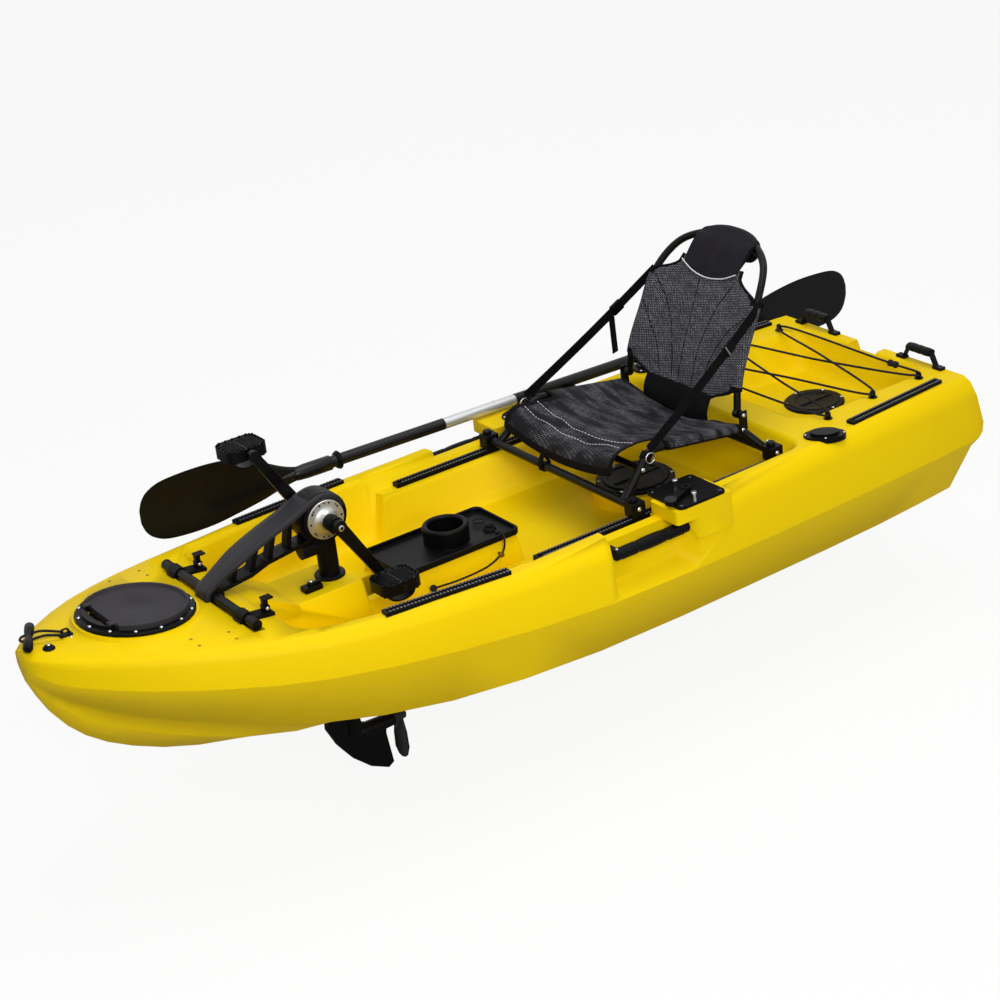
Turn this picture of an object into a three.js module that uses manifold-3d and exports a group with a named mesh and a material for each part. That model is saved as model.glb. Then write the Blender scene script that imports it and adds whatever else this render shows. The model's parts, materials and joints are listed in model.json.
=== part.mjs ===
// A short sit-on-top pedal kayak with a flip-up propeller drive, a framed mesh seat and a paddle.
// Millimetres, +X towards the bow, +Y to port, +Z up; the origin is on the keel's flat bottom at midlength.
import * as THREE from "three";
import { mergeVertices } from "three/addons/utils/BufferGeometryUtils.js";
import Module from "manifold-3d";

const wasm = await Module();
wasm.setup();

// Driving dimensions
const gap = 0.3; // between pieces that touch
const running = 0.5; // between pieces that turn in each other
const overrun = 20; // how far every cutter passes the face it cuts
const PORT = 1;
const STARBOARD = -1;

const hull = {
  length: 2500,
  beam: 840,
  depth: 345,
  wall: 5,
  bowRise: 12, // crown of the foredeck above its edges
};
const half = hull.length / 2;
const halfBeam = hull.beam / 2;

// One row a station. x is a share of the half length, y of the half beam, z of the depth.
const stationShares = [
  { x: -1.0, keel: 0, flat: 0.14, bulge: [0.42, 0.012], tunnel: [0.6, 0.03], chine: [0.71, 0.085], knuckle: [0.87, 0.5], deck: 0.99 },
  { x: -0.94, keel: 0, flat: 0.14, bulge: [0.42, 0.012], tunnel: [0.62, 0.03], chine: [0.74, 0.085], knuckle: [0.905, 0.5], deck: 0.99 },
  { x: -0.72, keel: 0, flat: 0.14, bulge: [0.42, 0.012], tunnel: [0.66, 0.03], chine: [0.8, 0.085], knuckle: [0.945, 0.5], deck: 0.99 },
  { x: -0.4, keel: 0, flat: 0.14, bulge: [0.44, 0.012], tunnel: [0.68, 0.03], chine: [0.83, 0.085], knuckle: [0.985, 0.505], deck: 0.975 },
  { x: 0.0, keel: 0, flat: 0.14, bulge: [0.44, 0.012], tunnel: [0.68, 0.035], chine: [0.84, 0.09], knuckle: [1.0, 0.52], deck: 0.945 },
  { x: 0.32, keel: 0, flat: 0.14, bulge: [0.4, 0.02], tunnel: [0.62, 0.08], chine: [0.78, 0.155], knuckle: [0.955, 0.615], deck: 0.955 },
  { x: 0.56, keel: 0, flat: 0.12, bulge: [0.3, 0.05], tunnel: [0.47, 0.25], chine: [0.64, 0.285], knuckle: [0.83, 0.7], deck: 0.985 },
  { x: 0.72, keel: 0.08, flat: 0.08, bulge: [0.21, 0.21], tunnel: [0.34, 0.47], chine: [0.485, 0.45], knuckle: [0.665, 0.785], deck: 1.05 },
  { x: 0.84, keel: 0.245, flat: 0.05, bulge: [0.165, 0.42], tunnel: [0.255, 0.645], chine: [0.36, 0.61], knuckle: [0.5, 0.865], deck: 1.085 },
  { x: 0.92, keel: 0.44, flat: 0.035, bulge: [0.12, 0.6], tunnel: [0.18, 0.775], chine: [0.25, 0.75], knuckle: [0.335, 0.92], deck: 1.1 },
  { x: 0.97, keel: 0.67, flat: 0.03, bulge: [0.085, 0.77], tunnel: [0.12, 0.865], chine: [0.15, 0.86], knuckle: [0.195, 0.96], deck: 1.11 },
  { x: 1.0, keel: 0.93, flat: 0.02, bulge: [0.03, 0.95], tunnel: [0.04, 0.965], chine: [0.05, 0.98], knuckle: [0.075, 1.03], deck: 1.113 },
];
// The topside above the knuckle rolls over onto the deck: shares of the knuckle's breadth and of the rise.
const shoulderShares = [[0.985, 0.7], [0.955, 0.92], [0.9, 1.0]];
const stationsPerRow = 2;
// The stern seen from the side, as shares of the depth: deck corner, overhang, step and foot of the transom.
const transomShares = [[-0.12, 1.2], [-0.12, 0.99], [0, 0.6], [-0.02, 0.53], [-0.15, 0.46], [-0.23, 0]];

const cockpit = {
  front: 722, // forward edge of the footwells
  rear: -655, // after edge of the seat well
  frontHalf: 275,
  midX: 545,
  midHalf: 311,
  aftX: 244,
  aftHalf: 334,
  rearHalf: 342,
  footFloor: 180,
  seatFloor: 186,
  footRear: 160,
  ledge: 291, // height of the shelf that carries the seat rails
  ledgeFront: 205,
  ledgeHalf: 272, // inboard edge of that shelf
  floorRear: -630,
  corner: 60,
  ledgeCorner: 42,
  lip: 12, // rounding of every well's upper edge
  fillet: 24,
  draft: 26, // how far a well's wall leans in on its way down
};
const spine = {
  top: 292, // platform that the drive's base flange stands on
  half: 78,
  front: 770,
  rear: 446,
  rampFoot: 620,
  rampHead: 705,
  lowTop: 228, // saddle between the platform and the console
  consoleFront: 352,
  consoleRear: 22,
  consoleTop: 258,
  consoleHalf: 84,
  flare: 12,
};
const driveWell = {
  front: 600,
  rear: 98,
  half: 45,
  roof: 250,
  mouthRear: 353, // after edge of the open top, at the console
  neckFront: 516, // the narrow part of the mouth, under the base flange
  neckHalf: 24,
};
const tankWell = { front: -748, rear: -1172, half: 238, floor: 240, corner: 60 };
const sternNotch = { half: 52, deep: 34, low: 300 };
const sideRecess = {
  front: -28,
  rear: -252,
  low: 196,
  back: 362, // how far the pocket's inner wall stands from the centreline
  stripTop: 304, // height of the strip left between the pocket and the seat well
  splay: 18,
};
const boss = { front: -202, rear: -368, inner: 318, outer: 421, low: 250, top: 337 };
const barTrough = { half: 226, radius: 17, eyeHalf: 29, eyeRadius: 27 };
const seatPad = { x: -400, radius: 114, top: 226 };

const bowHatch = {
  x: 976,
  seat: 139, // radius of the flat moulded pad it stands on
  rise: 383, // height of that pad's middle
  pitch: 5.8, // degrees that the pad leans with the sheer of the deck
  radius: 133,
  hole: 104,
  frame: 9,
  lid: 118,
  lidThick: 7,
  lip: 5,
  skirt: 100,
  skirtDeep: 10,
  hingeX: 89,
  hingeZ: 15.8,
  knuckle: 6,
  pin: 2.5,
  lugY: 62,
  lugWide: 14,
  chord: 80, // the lid is cut off this far ahead of its middle, behind its hinge
};
const seatHatch = { x: seatPad.x, base: seatPad.top, radius: 100, hole: 78, frame: 8, lid: 84, lidThick: 7, grip: 8 };
const sternHatch = { x: -1000, base: tankWell.floor, radius: 80, hole: 60, frame: 7, lid: 66, lidThick: 6, grip: 7 };
const screw = { radius: 3.6, tall: 1.2, inset: 8 };

const track = { width: 24, height: 9, slot: 9, slotDeep: 5 };
const trackRuns = [
  ["front_track", [549, 336], [233, 361]],
  ["rear_track", [-808, 349], [-1135, 323]],
];
const rail = { front: 118, rear: -611, y: 300, width: 24, height: 12, slot: 10, slotDeep: 7 };

const sideBar = { rear: -252, front: -28, y: 396, z: 282, radius: 14, bracket: 18, bracketTall: 24 };
const sternHandle = {
  x: -1197,
  y: 196,
  half: 66,
  rise: 40,
  strap: 18,
  thick: 4,
  foot: 15,
  footTall: 8,
  grip: 40,
  gripWall: 5,
  rib: 1.2,
};
const rodHolder = { tube: 22, bore: 18.5, flange: 6, long: 52, wide: 33, lean: 0.35, cap: 7 };
const rodPlaces = [
  { name: "rod_holder_port", x: -722, y: 352, side: PORT, turn: 38, sunk: 110 },
  { name: "rod_holder_starboard", x: -722, y: 352, side: STARBOARD, turn: 38, sunk: 110 },
  { name: "rod_holder_mid", x: -306, y: 352, side: STARBOARD, turn: 0, sunk: 58, base: boss.top },
];
const plate = { x: -285, y: 352, size: 138, thick: 8, corner: 12 };
const steer = { x: -281, y: 359, reach: 76, hub: 13, hubTall: 16, knob: 14, knobTall: 13, arm: 7, thick: 7, angle: 23 };
const post = { radius: 5.5, height: 24, places: [[-276, 325], [-262, 412]] };

const tray = {
  front: 352,
  rear: 16,
  half: 92,
  corner: 18,
  floor: 4,
  rim: 9,
  rimWide: 6,
  cupX: 168,
  cupRadius: 56,
  cupBore: 43,
  cupTop: 44,
  ring: 12,
  ringX: 62,
};
const bar = { x: 794, z: 359, radius: 12.5, bore: 9.5, half: 212 };
const latch = { y: 157, wide: 34, wall: 3.5, rear: 728, front: 814, top: 7, pinX: 741, pinZ: 362, pin: 2.5, eye: 6, lever: 40, ear: 3.5 };
const crank = { x: 498, z: 448, arm: 175, hub: 17, end: 13, thick: 14, y: 95, spindle: 10, angle: 239, bolt: 7 };
const head = { radius: 55, half: 30, column: 24, columnX: 490, flange: 36, flangeThick: 8, knob: 20, knobZ: 376, knobX: 558 };
const cover = { radius: 46, thick: 7, boss: 19, bossTall: 42, screws: 8 };
const pedal = { y: 152, long: 104, wide: 84, thick: 28, axle: 7, strap: 4, drop: 44, tooth: 3 };
const arch = { half: 24, thick: 9, web: 12, webHalf: 12, eye: 24, band: 7 };
const archTop = [[800, 379], [760, 403], [700, 433], [640, 455], [580, 471], [520, 503]];
const archLow = [[786, 366], [697, 376], [651, 391], [571, 401], [535, 404]];
const archWebs = [[[738, 374], [722, 420]], [[690, 380], [662, 446]], [[640, 394], [618, 460]], [[590, 399], [574, 470]]];
const leg = { radius: 18, podZ: -135, podRadius: 20, podFront: 470, podRear: 385 };
const finCorners = [
  [486, 0],
  [520, -60],
  [563, -70],
  [564, -92],
  [541, -143],
  [507, -191],
  [462, -233],
  [414, -257],
  [398, -247],
  [408, -163],
  [404, -137],
  [470, -110],
];
const fin = { half: 6 };
const prop = { radius: 115, hub: 17, front: 383, rear: 350, chord: 38, thick: 4, root: 55, tip: 24, ratio: 8 };
const clampPost = { x: 560, y: 36, long: 46, wide: 26, tall: 14, pin: 5, lever: 46, leverWide: 10, leverThick: 6 };

const seat = {
  barFront: -172,
  barZ: 325,
  barHalf: 284,
  tube: 11,
  knee: [-276, 236, 420],
  heel: [-560, 228, 376],
  foot: [-598, 284, 325],
  crossX: -238,
  crossZ: 384,
  clampLong: 40,
  clampWide: 34,
  clampTall: 38,
  knob: 11,
  cloth: 5,
  nose: -184,
};
const back = {
  x: -566,
  lean: 28, // degrees that it stands back from upright
  z: 412,
  eye: 12,
  pin: 4,
  tube: 9.5,
  cloth: 7,
  dish: 18,
  spine: [[-566, 412], [-582, 490], [-620, 575], [-668, 668], [-724, 735], [-765, 765]],
  halves: [214, 206, 200, 196, 158, 70],
};
const cap = { half: 98, deep: 92, front: 22, rear: 15 };
const strap = { wide: 25, thick: 2.4, top: [-672, 206.2, 664], foot: [-262, 250.5, 425], loop: 14.5, loopHalf: 8 };
const paddle = {
  y: 408,
  x: -250,
  z: 355,
  slope: 0.022,
  radius: 14.5,
  frontTip: 755,
  rearTip: -1495,
  bladeLong: 455,
  bladeHalf: 80,
  bladeThick: 7,
  frontRise: 24,
  rearRise: -10,
  silverFront: -108,
  silverRear: -330,
  ringX: 206,
  ring: 24,
};
const clip = { x: -500, wide: 24, wall: 5, footIn: 352 };

const bungee = { radius: 3, eyes: [["front", -797, 282], ["mid", -960, 269], ["rear", -1121, 267]], eye: 9, wire: 2, rise: 10 };
const toggle = { x: 1218, y: -18, z: 409, half: 58, radius: 11, neck: 7.5 };
const padEye = { x: 1143, long: 30, wide: 16, thick: 4, eye: 9, wire: 3 };
const cord = { radius: 3, ball: 9 };

// Materials
function finish(colour, roughness, metalness) {
  return new THREE.MeshStandardMaterial({ color: colour, roughness, metalness });
}
const yellow = finish(0xf6d600, 0.5, 0);
const black = finish(0x17171a, 0.55, 0);
const darkGrey = finish(0x3b383c, 0.6, 0);
const painted = finish(0x101012, 0.35, 0.4);
const steel = finish(0xc8cacc, 0.3, 1);
const mesh = finish(0x2e2e33, 0.9, 0);
const webbing = finish(0x141416, 0.9, 0);
const whiteTube = finish(0xd8dadb, 0.35, 0.6);

// Solids
const weld = 1e-4;
const tidy = 0.02; // booleans' slivers thinner than this are dropped
function solid(geometry) {
  const bare = geometry.index ? geometry.toNonIndexed() : geometry.clone();
  for (const name of Object.keys(bare.attributes)) if (name !== "position") bare.deleteAttribute(name);
  const merged = mergeVertices(bare, weld);
  const made = new wasm.Manifold(
    new wasm.Mesh({
      numProp: 3,
      vertProperties: merged.attributes.position.array,
      triVerts: new Uint32Array(merged.index.array),
    }),
  );
  return made;
}

function geometryOf(made) {
  const { vertProperties, triVerts, numProp } = made.getMesh();
  const geometry = new THREE.BufferGeometry();
  const places = new Float32Array(triVerts.length * 3);
  triVerts.forEach((corner, i) => {
    for (let k = 0; k < 3; k++) places[i * 3 + k] = vertProperties[corner * numProp + k];
  });
  geometry.setAttribute("position", new THREE.BufferAttribute(places, 3));
  geometry.computeVertexNormals();
  return geometry;
}

const fuse = (...solids) => solids.reduce((all, one) => all.add(one));
const moved = (made, x, y, z) => made.translate([x, y, z]);
const turned = (made, x, y, z) => made.rotate([x, y, z]);

const model = new THREE.Group();
function part(name, made, material) {
  const piece = new THREE.Mesh(geometryOf(made.simplify(tidy)), material);
  piece.name = name;
  model.add(piece);
  return piece;
}

// A closed solid through rings of equal count, each a list of Vector3, closed at both ends by a fan from its middle.
// Ends: a fan from the ring's middle, "strip" for a ring that is a strip's outline, or "none" for a ring of rings.
function loft(rings, ends = "fan") {
  const count = rings[0].length;
  const middle = (ring) => ring.reduce((sum, p) => sum.add(p), new THREE.Vector3()).divideScalar(count);
  const caps = ends === "fan" ? [middle(rings[0]), middle(rings.at(-1))] : [];
  const places = [...rings.flat(), ...caps].flatMap((p) => [p.x, p.y, p.z]);
  const last = (rings.length - 1) * count;
  const faces = [];
  for (let i = 0; i < count; i++) {
    const j = (i + 1) % count;
    for (let r = 0; r < last; r += count) faces.push(r + i, r + j, r + i + count, r + j, r + j + count, r + i + count);
    if (ends === "none") faces.push(last + i, last + j, i, last + j, j, i);
    if (ends === "fan") faces.push(last + count, j, i, last + count + 1, last + i, last + j);
    if (ends !== "strip" || i >= count / 2 - 1) continue;
    const k = count - 1 - i;
    faces.push(i, k, j, j, k, k - 1, last + i, last + j, last + k, last + j, last + k - 1, last + k);
  }
  const geometry = new THREE.BufferGeometry();
  geometry.setAttribute("position", new THREE.Float32BufferAttribute(places, 3));
  geometry.setIndex(faces);
  const made = solid(geometry);
  if (made.volume() > 0) return made;
  for (let i = 0; i < faces.length; i += 3) [faces[i + 1], faces[i + 2]] = [faces[i + 2], faces[i + 1]];
  geometry.setIndex(faces);
  return solid(geometry);
}

// A closed outline with rounded corners: each corner is [x, y, radius], and a radius is cut down to fit its sides.
function rounded(corners, steps = 3) {
  const points = [];
  corners.forEach(([x, y, radius = 0], i) => {
    const here = new THREE.Vector2(x, y);
    if (!radius) return points.push(here);
    const before = new THREE.Vector2(...corners.at(i - 1).slice(0, 2)).sub(here);
    const after = new THREE.Vector2(...corners[(i + 1) % corners.length].slice(0, 2)).sub(here);
    const turn = Math.atan2(before.cross(after), before.dot(after));
    const slope = Math.tan(Math.abs(turn) / 2);
    const used = Math.min(radius, (Math.min(before.length(), after.length()) / 2) * slope);
    const middle = before.clone().normalize().add(after.clone().normalize()).normalize();
    const centre = here.clone().addScaledVector(middle, used / Math.sin(Math.abs(turn) / 2));
    const first = here.clone().addScaledVector(before.normalize(), used / slope).sub(centre);
    const sweep = (Math.PI - Math.abs(turn)) * -Math.sign(turn);
    for (let k = 0; k <= steps; k++)
      points.push(first.clone().rotateAround(new THREE.Vector2(), (sweep * k) / steps).add(centre));
  });
  return points.filter((p, i) => p.distanceTo(points.at(i - 1)) > gap);
}

// The outline moved outwards by a distance, corner by corner.
function grown(outline, distance) {
  const turn = THREE.ShapeUtils.area(outline) > 0 ? 1 : -1;
  return outline.map((p, i) => {
    const a = p.clone().sub(outline.at(i - 1)).normalize();
    const b = outline[(i + 1) % outline.length].clone().sub(p).normalize();
    const out = new THREE.Vector2(a.y + b.y, -a.x - b.x).multiplyScalar(turn);
    const stretch = Math.max(out.lengthSq() / 2, 0.5);
    return p.clone().addScaledVector(out, distance / stretch);
  });
}

// The outline of a strip of one thickness along a line of points.
function band(points, thick) {
  const line = points.map(([x, y]) => new THREE.Vector2(x, y));
  const side = (sign) =>
    line.map((p, i) => {
      const along = line[Math.min(i + 1, line.length - 1)].clone().sub(line[Math.max(i - 1, 0)]).normalize();
      return new THREE.Vector2(p.x - along.y * sign * (thick / 2), p.y + along.x * sign * (thick / 2));
    });
  return [...side(1), ...side(-1).toReversed()];
}

const mirrored = (corners) => [...corners, ...corners.toReversed().map(([x, y, radius]) => [x, -y, radius])];

// A straight-sided block over an outline, from one height to another.
function prism(outline, low, high) {
  const shape = new THREE.Shape(outline);
  const made = solid(new THREE.ExtrudeGeometry(shape, { depth: high - low, bevelEnabled: false }));
  return moved(made, 0, 0, low);
}

// The same over an outline in X and Z, from one y to another.
function sideways(outline, low, high) {
  const made = prism(outline.map((p) => new THREE.Vector2(p.x, -p.y)), low, high);
  return turned(made, -90, 0, 0);
}

function block(x0, x1, y0, y1, z0, z1) {
  const made = solid(new THREE.BoxGeometry(x1 - x0, y1 - y0, z1 - z0));
  return moved(made, (x0 + x1) / 2, (y0 + y1) / 2, (z0 + z1) / 2);
}

// A round rod between two points, or a cone if the second radius differs.
function rod(from, to, radius, sides = 16, endRadius = radius) {
  const a = new THREE.Vector3(...from);
  const b = new THREE.Vector3(...to);
  const geometry = new THREE.CylinderGeometry(endRadius, radius, a.distanceTo(b), sides);
  const along = new THREE.Quaternion().setFromUnitVectors(
    new THREE.Vector3(0, 1, 0),
    b.clone().sub(a).normalize(),
  );
  geometry.applyQuaternion(along);
  geometry.translate(...a.add(b).multiplyScalar(0.5).toArray());
  return solid(geometry);
}

// The radius of a many-sided hole that a round of this radius turns in.
const around = (radius, sides) => radius / Math.cos(Math.PI / sides);

// A turned piece about +Z: the profile is a list of [radius, height] that starts and ends on the axis or closes.
function lathe(profile, sides = 32) {
  const geometry = new THREE.LatheGeometry(profile.map(([r, z]) => new THREE.Vector2(r, z)), sides);
  geometry.rotateX(Math.PI / 2);
  let made = solid(geometry);
  if (made.volume() < 0) {
    const flipped = profile.toReversed();
    const again = new THREE.LatheGeometry(flipped.map(([r, z]) => new THREE.Vector2(r, z)), sides);
    made = solid(again.rotateX(Math.PI / 2));
  }
  return made;
}

// A tube of round section along a smooth curve, with the same number of rings between each two points.
function tube(points, radius, sides = 8, perRun = 3, closed = false) {
  const path = new THREE.CatmullRomCurve3(points.map((p) => new THREE.Vector3(...p)), closed, "centripetal");
  const count = (closed ? points.length : points.length - 1) * perRun;
  const steps = Array.from({ length: closed ? count : count + 1 }, (_, i) => i / count);
  const along = steps.map((t) => path.getTangent(t));
  const across = [new THREE.Vector3(0, 0, 1).cross(along[0]).normalize()];
  for (let i = 1; i < steps.length; i++) {
    const carry = new THREE.Quaternion().setFromUnitVectors(along[i - 1], along[i]);
    across.push(across[i - 1].clone().applyQuaternion(carry));
  }
  const back = new THREE.Quaternion().setFromUnitVectors(along.at(-1), along[0]);
  const end = across.at(-1).clone().applyQuaternion(back);
  const twist = closed ? Math.atan2(end.clone().cross(across[0]).dot(along[0]), end.dot(across[0])) : 0;
  const rings = steps.map((t, i) => {
    const middle = path.getPoint(t);
    return Array.from({ length: sides }, (_, k) => {
      const angle = (k / sides) * 2 * Math.PI + (twist * i) / steps.length;
      return across[i].clone().applyAxisAngle(along[i], angle).multiplyScalar(radius).add(middle);
    });
  });
  return loft(rings, closed ? "none" : "fan");
}

// A bent tube of straight runs: rods with a ball at each bend.
function bent(points, radius, sides = 12) {
  const runs = points.slice(1).map((p, i) => rod(points[i], p, radius, sides));
  const balls = points.slice(1, -1).map((p) => moved(solid(new THREE.SphereGeometry(radius, 8, 4)), ...p));
  return fuse(...runs, ...balls);
}

// The hull's feature lines, each a smooth curve through the stations
function featureLine(y, z) {
  return new THREE.CatmullRomCurve3(
    stationShares.map((s) => new THREE.Vector3(s.x * half, y(s) * halfBeam, z(s) * hull.depth)),
    false,
    "catmullrom",
  );
}
const shoulderLine = ([breadth, rise]) =>
  featureLine((s) => s.knuckle[0] * breadth, (s) => s.knuckle[1] + (s.deck - s.knuckle[1]) * rise);
const featureLines = [
  featureLine((s) => s.flat, (s) => s.keel),
  featureLine((s) => s.bulge[0], (s) => s.bulge[1]),
  featureLine((s) => s.tunnel[0], (s) => s.tunnel[1]),
  featureLine((s) => s.chine[0], (s) => s.chine[1]),
  featureLine((s) => s.knuckle[0], (s) => s.knuckle[1]),
  ...shoulderShares.map(shoulderLine),
];
const deckLine = featureLines.at(-1);
const stationCount = (stationShares.length - 1) * stationsPerRow;

// The height of the deck's edge at a distance along the hull.
function deckZ(x) {
  const shares = stationShares.map((s) => s.x * half);
  const row = Math.max(0, shares.findLastIndex((s, i) => s <= x && i < shares.length - 1));
  let low = row / (shares.length - 1);
  let high = (row + 1) / (shares.length - 1);
  for (let i = 0; i < 20; i++) {
    const mid = (low + high) / 2;
    if (deckLine.getPoint(mid).x < x) low = mid;
    else high = mid;
  }
  return deckLine.getPoint(low).z;
}

// The foredeck crowns towards the centreline, and the crown fades out ahead of the cockpit.
const crownAt = (x) => hull.bowRise * THREE.MathUtils.smoothstep(x, cockpit.front, bowHatch.x);

// One station of the hull as a closed ring, drawn in by a wall's thickness for the cavity.
function stationRing(u, inset) {
  const port = featureLines.map((line) => line.getPoint(u));
  const x = port[0].x;
  const crown = crownAt(x);
  const outline = [
    ...port.map((p) => new THREE.Vector2(p.y, Math.max(p.z, 0))),
    new THREE.Vector2(port.at(-1).y / 2, port.at(-1).z + crown * 0.75),
    new THREE.Vector2(0, port.at(-1).z + crown),
  ];
  const whole = [...outline, ...outline.slice(0, -1).toReversed().map((p) => new THREE.Vector2(-p.x, p.y))];
  const ring = inset ? grown(whole, -inset) : whole;
  return ring.map((p) => new THREE.Vector3(x, p.x, p.y));
}

function hullForm(inset) {
  const rings = [];
  for (let i = 0; i <= stationCount; i++) rings.push(stationRing(i / stationCount, inset));
  const stem = half - 6 * hull.wall;
  const kept = inset ? rings.filter((ring) => ring[0].x < stem) : rings;
  const form = loft(kept);
  const corners = transomShares.map(([back, up]) => new THREE.Vector2(-half - back * hull.depth + inset, up * hull.depth));
  const behind = -half - overrun;
  corners.push(new THREE.Vector2(corners.at(-1).x, -overrun));
  corners.push(new THREE.Vector2(behind, -overrun), new THREE.Vector2(behind, corners[0].y));
  return form.subtract(sideways(corners, -hull.beam, hull.beam));
}

// A well sunk from the deck: rounded lip, leaning wall, fillet, flat floor. The top follows the deck's sheer.
function well(outline, floor, { top = deckZ, draft = cockpit.draft, grow = 0, lip = cockpit.lip } = {}) {
  const fillet = cockpit.fillet;
  const quarter = grow ? [0, 1] : [0, 0.5, 1];
  const steps = [
    { out: lip, up: overrun },
    ...quarter.map((t) => ({ out: lip * (1 - Math.sin((t * Math.PI) / 2)), up: -lip * (1 - Math.cos((t * Math.PI) / 2)) })),
    ...quarter.map((t) => ({
      out: -draft - fillet * (1 - Math.cos((t * Math.PI) / 2)),
      low: fillet * (1 - Math.sin((t * Math.PI) / 2)),
    })),
  ];
  const rings = steps.map(({ out, up, low }) =>
    grown(outline, out + grow).map(
      (p) => new THREE.Vector3(p.x, p.y, up === undefined ? floor - grow + low : top(p.x) + up),
    ),
  );
  return loft(rings);
}

// The outline of a spine down the middle of the footwells, narrower at the top than at the floor.
function ridge(x0, x1, halfWide, top, shrink) {
  const low = cockpit.footFloor - overrun;
  const ring = (out, z) =>
    rounded([[x0 - out, -halfWide - out, 8], [x1 + out, -halfWide - out, 8], [x1 + out, halfWide + out, 8], [x0 - out, halfWide + out, 8]])
      .map((p) => new THREE.Vector3(p.x, p.y, z));
  return loft([ring(spine.flare - shrink, low), ring(-shrink, top - shrink - 5), ring(-shrink - 4, top - shrink)]);
}

// Everything that is sunk into the hull's deck. With grow it is the same, larger by a wall all round.
function wells(grow) {
  const foot = rounded(
    mirrored([
      [cockpit.footRear, cockpit.aftHalf, cockpit.corner],
      [cockpit.aftX, cockpit.aftHalf, cockpit.corner],
      [cockpit.midX, cockpit.midHalf, 120],
      [cockpit.front, cockpit.frontHalf, cockpit.corner],
    ]).toReversed(),
  );
  const seatWell = rounded(
    mirrored([
      [cockpit.rear, cockpit.rearHalf, cockpit.ledgeCorner],
      [cockpit.ledgeFront, cockpit.rearHalf, cockpit.ledgeCorner],
    ]).toReversed(),
  );
  const floorWell = rounded(
    mirrored([
      [cockpit.floorRear, cockpit.ledgeHalf, cockpit.corner],
      [cockpit.aftX + cockpit.corner, cockpit.ledgeHalf, cockpit.corner],
    ]).toReversed(),
  );
  const tank = rounded(
    mirrored([
      [tankWell.rear, tankWell.half, tankWell.corner],
      [tankWell.front, tankWell.half, tankWell.corner],
    ]).toReversed(),
  );
  let cut = fuse(
    well(foot, cockpit.footFloor, { grow }),
    well(seatWell, cockpit.ledge, { grow, draft: 6, lip: cockpit.lip }),
    well(floorWell, cockpit.seatFloor, { grow, top: () => cockpit.ledge, draft: 16 }),
    well(tank, tankWell.floor, { grow }),
  );
  const platform = ridge(spine.rear, spine.front, spine.half, spine.top, grow);
  const saddle = ridge(spine.consoleFront - 30, spine.rear + 30, spine.half - 6, spine.lowTop, grow);
  const console = ridge(spine.consoleRear, spine.consoleFront, spine.consoleHalf, spine.consoleTop, grow);
  const ramp = sideways(
    [
      new THREE.Vector2(spine.rampFoot, spine.top - grow - overrun),
      new THREE.Vector2(spine.rampHead + overrun * 3, spine.top - grow - overrun),
      new THREE.Vector2(spine.rampHead + overrun * 3, deckZ(cockpit.front) - grow - 1),
      new THREE.Vector2(spine.rampHead, deckZ(cockpit.front) - grow - 1),
      new THREE.Vector2(spine.rampFoot, spine.top - grow),
    ],
    -spine.half - spine.flare / 2 + grow,
    spine.half + spine.flare / 2 - grow,
  );
  const pad = rod([seatPad.x, 0, cockpit.footFloor - overrun], [seatPad.x, 0, seatPad.top - grow], seatPad.radius - grow, 32);
  cut = cut.subtract(fuse(platform, saddle, console, ramp, pad));
  const bossBlock = [PORT, STARBOARD].map((side) => {
    const y = [boss.inner + grow, boss.outer + overrun].map((v) => v * side).toSorted((a, b) => a - b);
    return block(boss.rear + grow, boss.front - grow, y[0], y[1], boss.low + grow, boss.top + overrun);
  });
  cut = cut.subtract(fuse(...bossBlock));
  const slot = fuse(
    block(driveWell.rear - grow, driveWell.front + grow, -driveWell.half - grow, driveWell.half + grow, -overrun, driveWell.roof + grow),
    block(driveWell.mouthRear - grow, spine.rear + grow, -driveWell.half - grow, driveWell.half + grow, 0, spine.top + overrun),
    block(driveWell.mouthRear - grow, driveWell.neckFront + grow, -driveWell.neckHalf - grow, driveWell.neckHalf + grow, 0, spine.top + overrun),
  );
  const notch = block(-half - overrun, -half - tankWellDeckInset() + sternNotch.deep + grow, -sternNotch.half - grow, sternNotch.half + grow, sternNotch.low - grow, hull.depth + overrun);
  const along = (across, radius) => rod([bar.x, -across - grow, bar.z], [bar.x, across + grow, bar.z], radius + grow, 16);
  const trough = along(barTrough.half, barTrough.radius).add(along(barTrough.eyeHalf, barTrough.eyeRadius));
  return fuse(cut, slot, notch, trough);
}

// The transom's deck corner stands this far ahead of the hull's after end.
function tankWellDeckInset() {
  return transomShares[1][0] * hull.depth;
}

// The pocket round a side handle, open to the side and upwards.
function sidePocket(side, grow) {
  const r = sideRecess;
  const ring = (y, out) =>
    rounded([
      [r.rear - out - grow, r.low - out - grow, 20],
      [r.front + out + grow, r.low - out - grow, 20],
      [r.front + out + grow, hull.depth + overrun, 0],
      [r.rear - out - grow, hull.depth + overrun, 0],
    ]).map((p) => new THREE.Vector3(p.x, y, p.y));
  const inner = ring(r.back - grow, 0);
  const outer = ring(halfBeam + overrun, r.splay);
  const pocket = loft([outer, inner]);
  const strip = block(r.rear - grow, r.front + grow, cockpit.rearHalf - overrun * 2, halfBeam, r.stripTop - grow, hull.depth + overrun);
  return [pocket, strip].map((made) => (side > 0 ? made : made.mirror([0, 1, 0])));
}

// The boss bridges the after end of the pocket: above it only the strip is lowered, below it the pocket runs on.
function withPockets(form, grow) {
  const [port, starboard] = [sidePocket(PORT, grow), sidePocket(STARBOARD, grow)];
  const roof = hull.depth + overrun * 2;
  const above = block(-half, half, -hull.beam, hull.beam, sideRecess.stripTop + grow, roof);
  const open = fuse(port[0], port[1], starboard[0], starboard[1]);
  const under = port[0].add(starboard[0]).subtract(above);
  return form.subtract(open).add(bossSolids(grow)).subtract(under);
}

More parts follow.
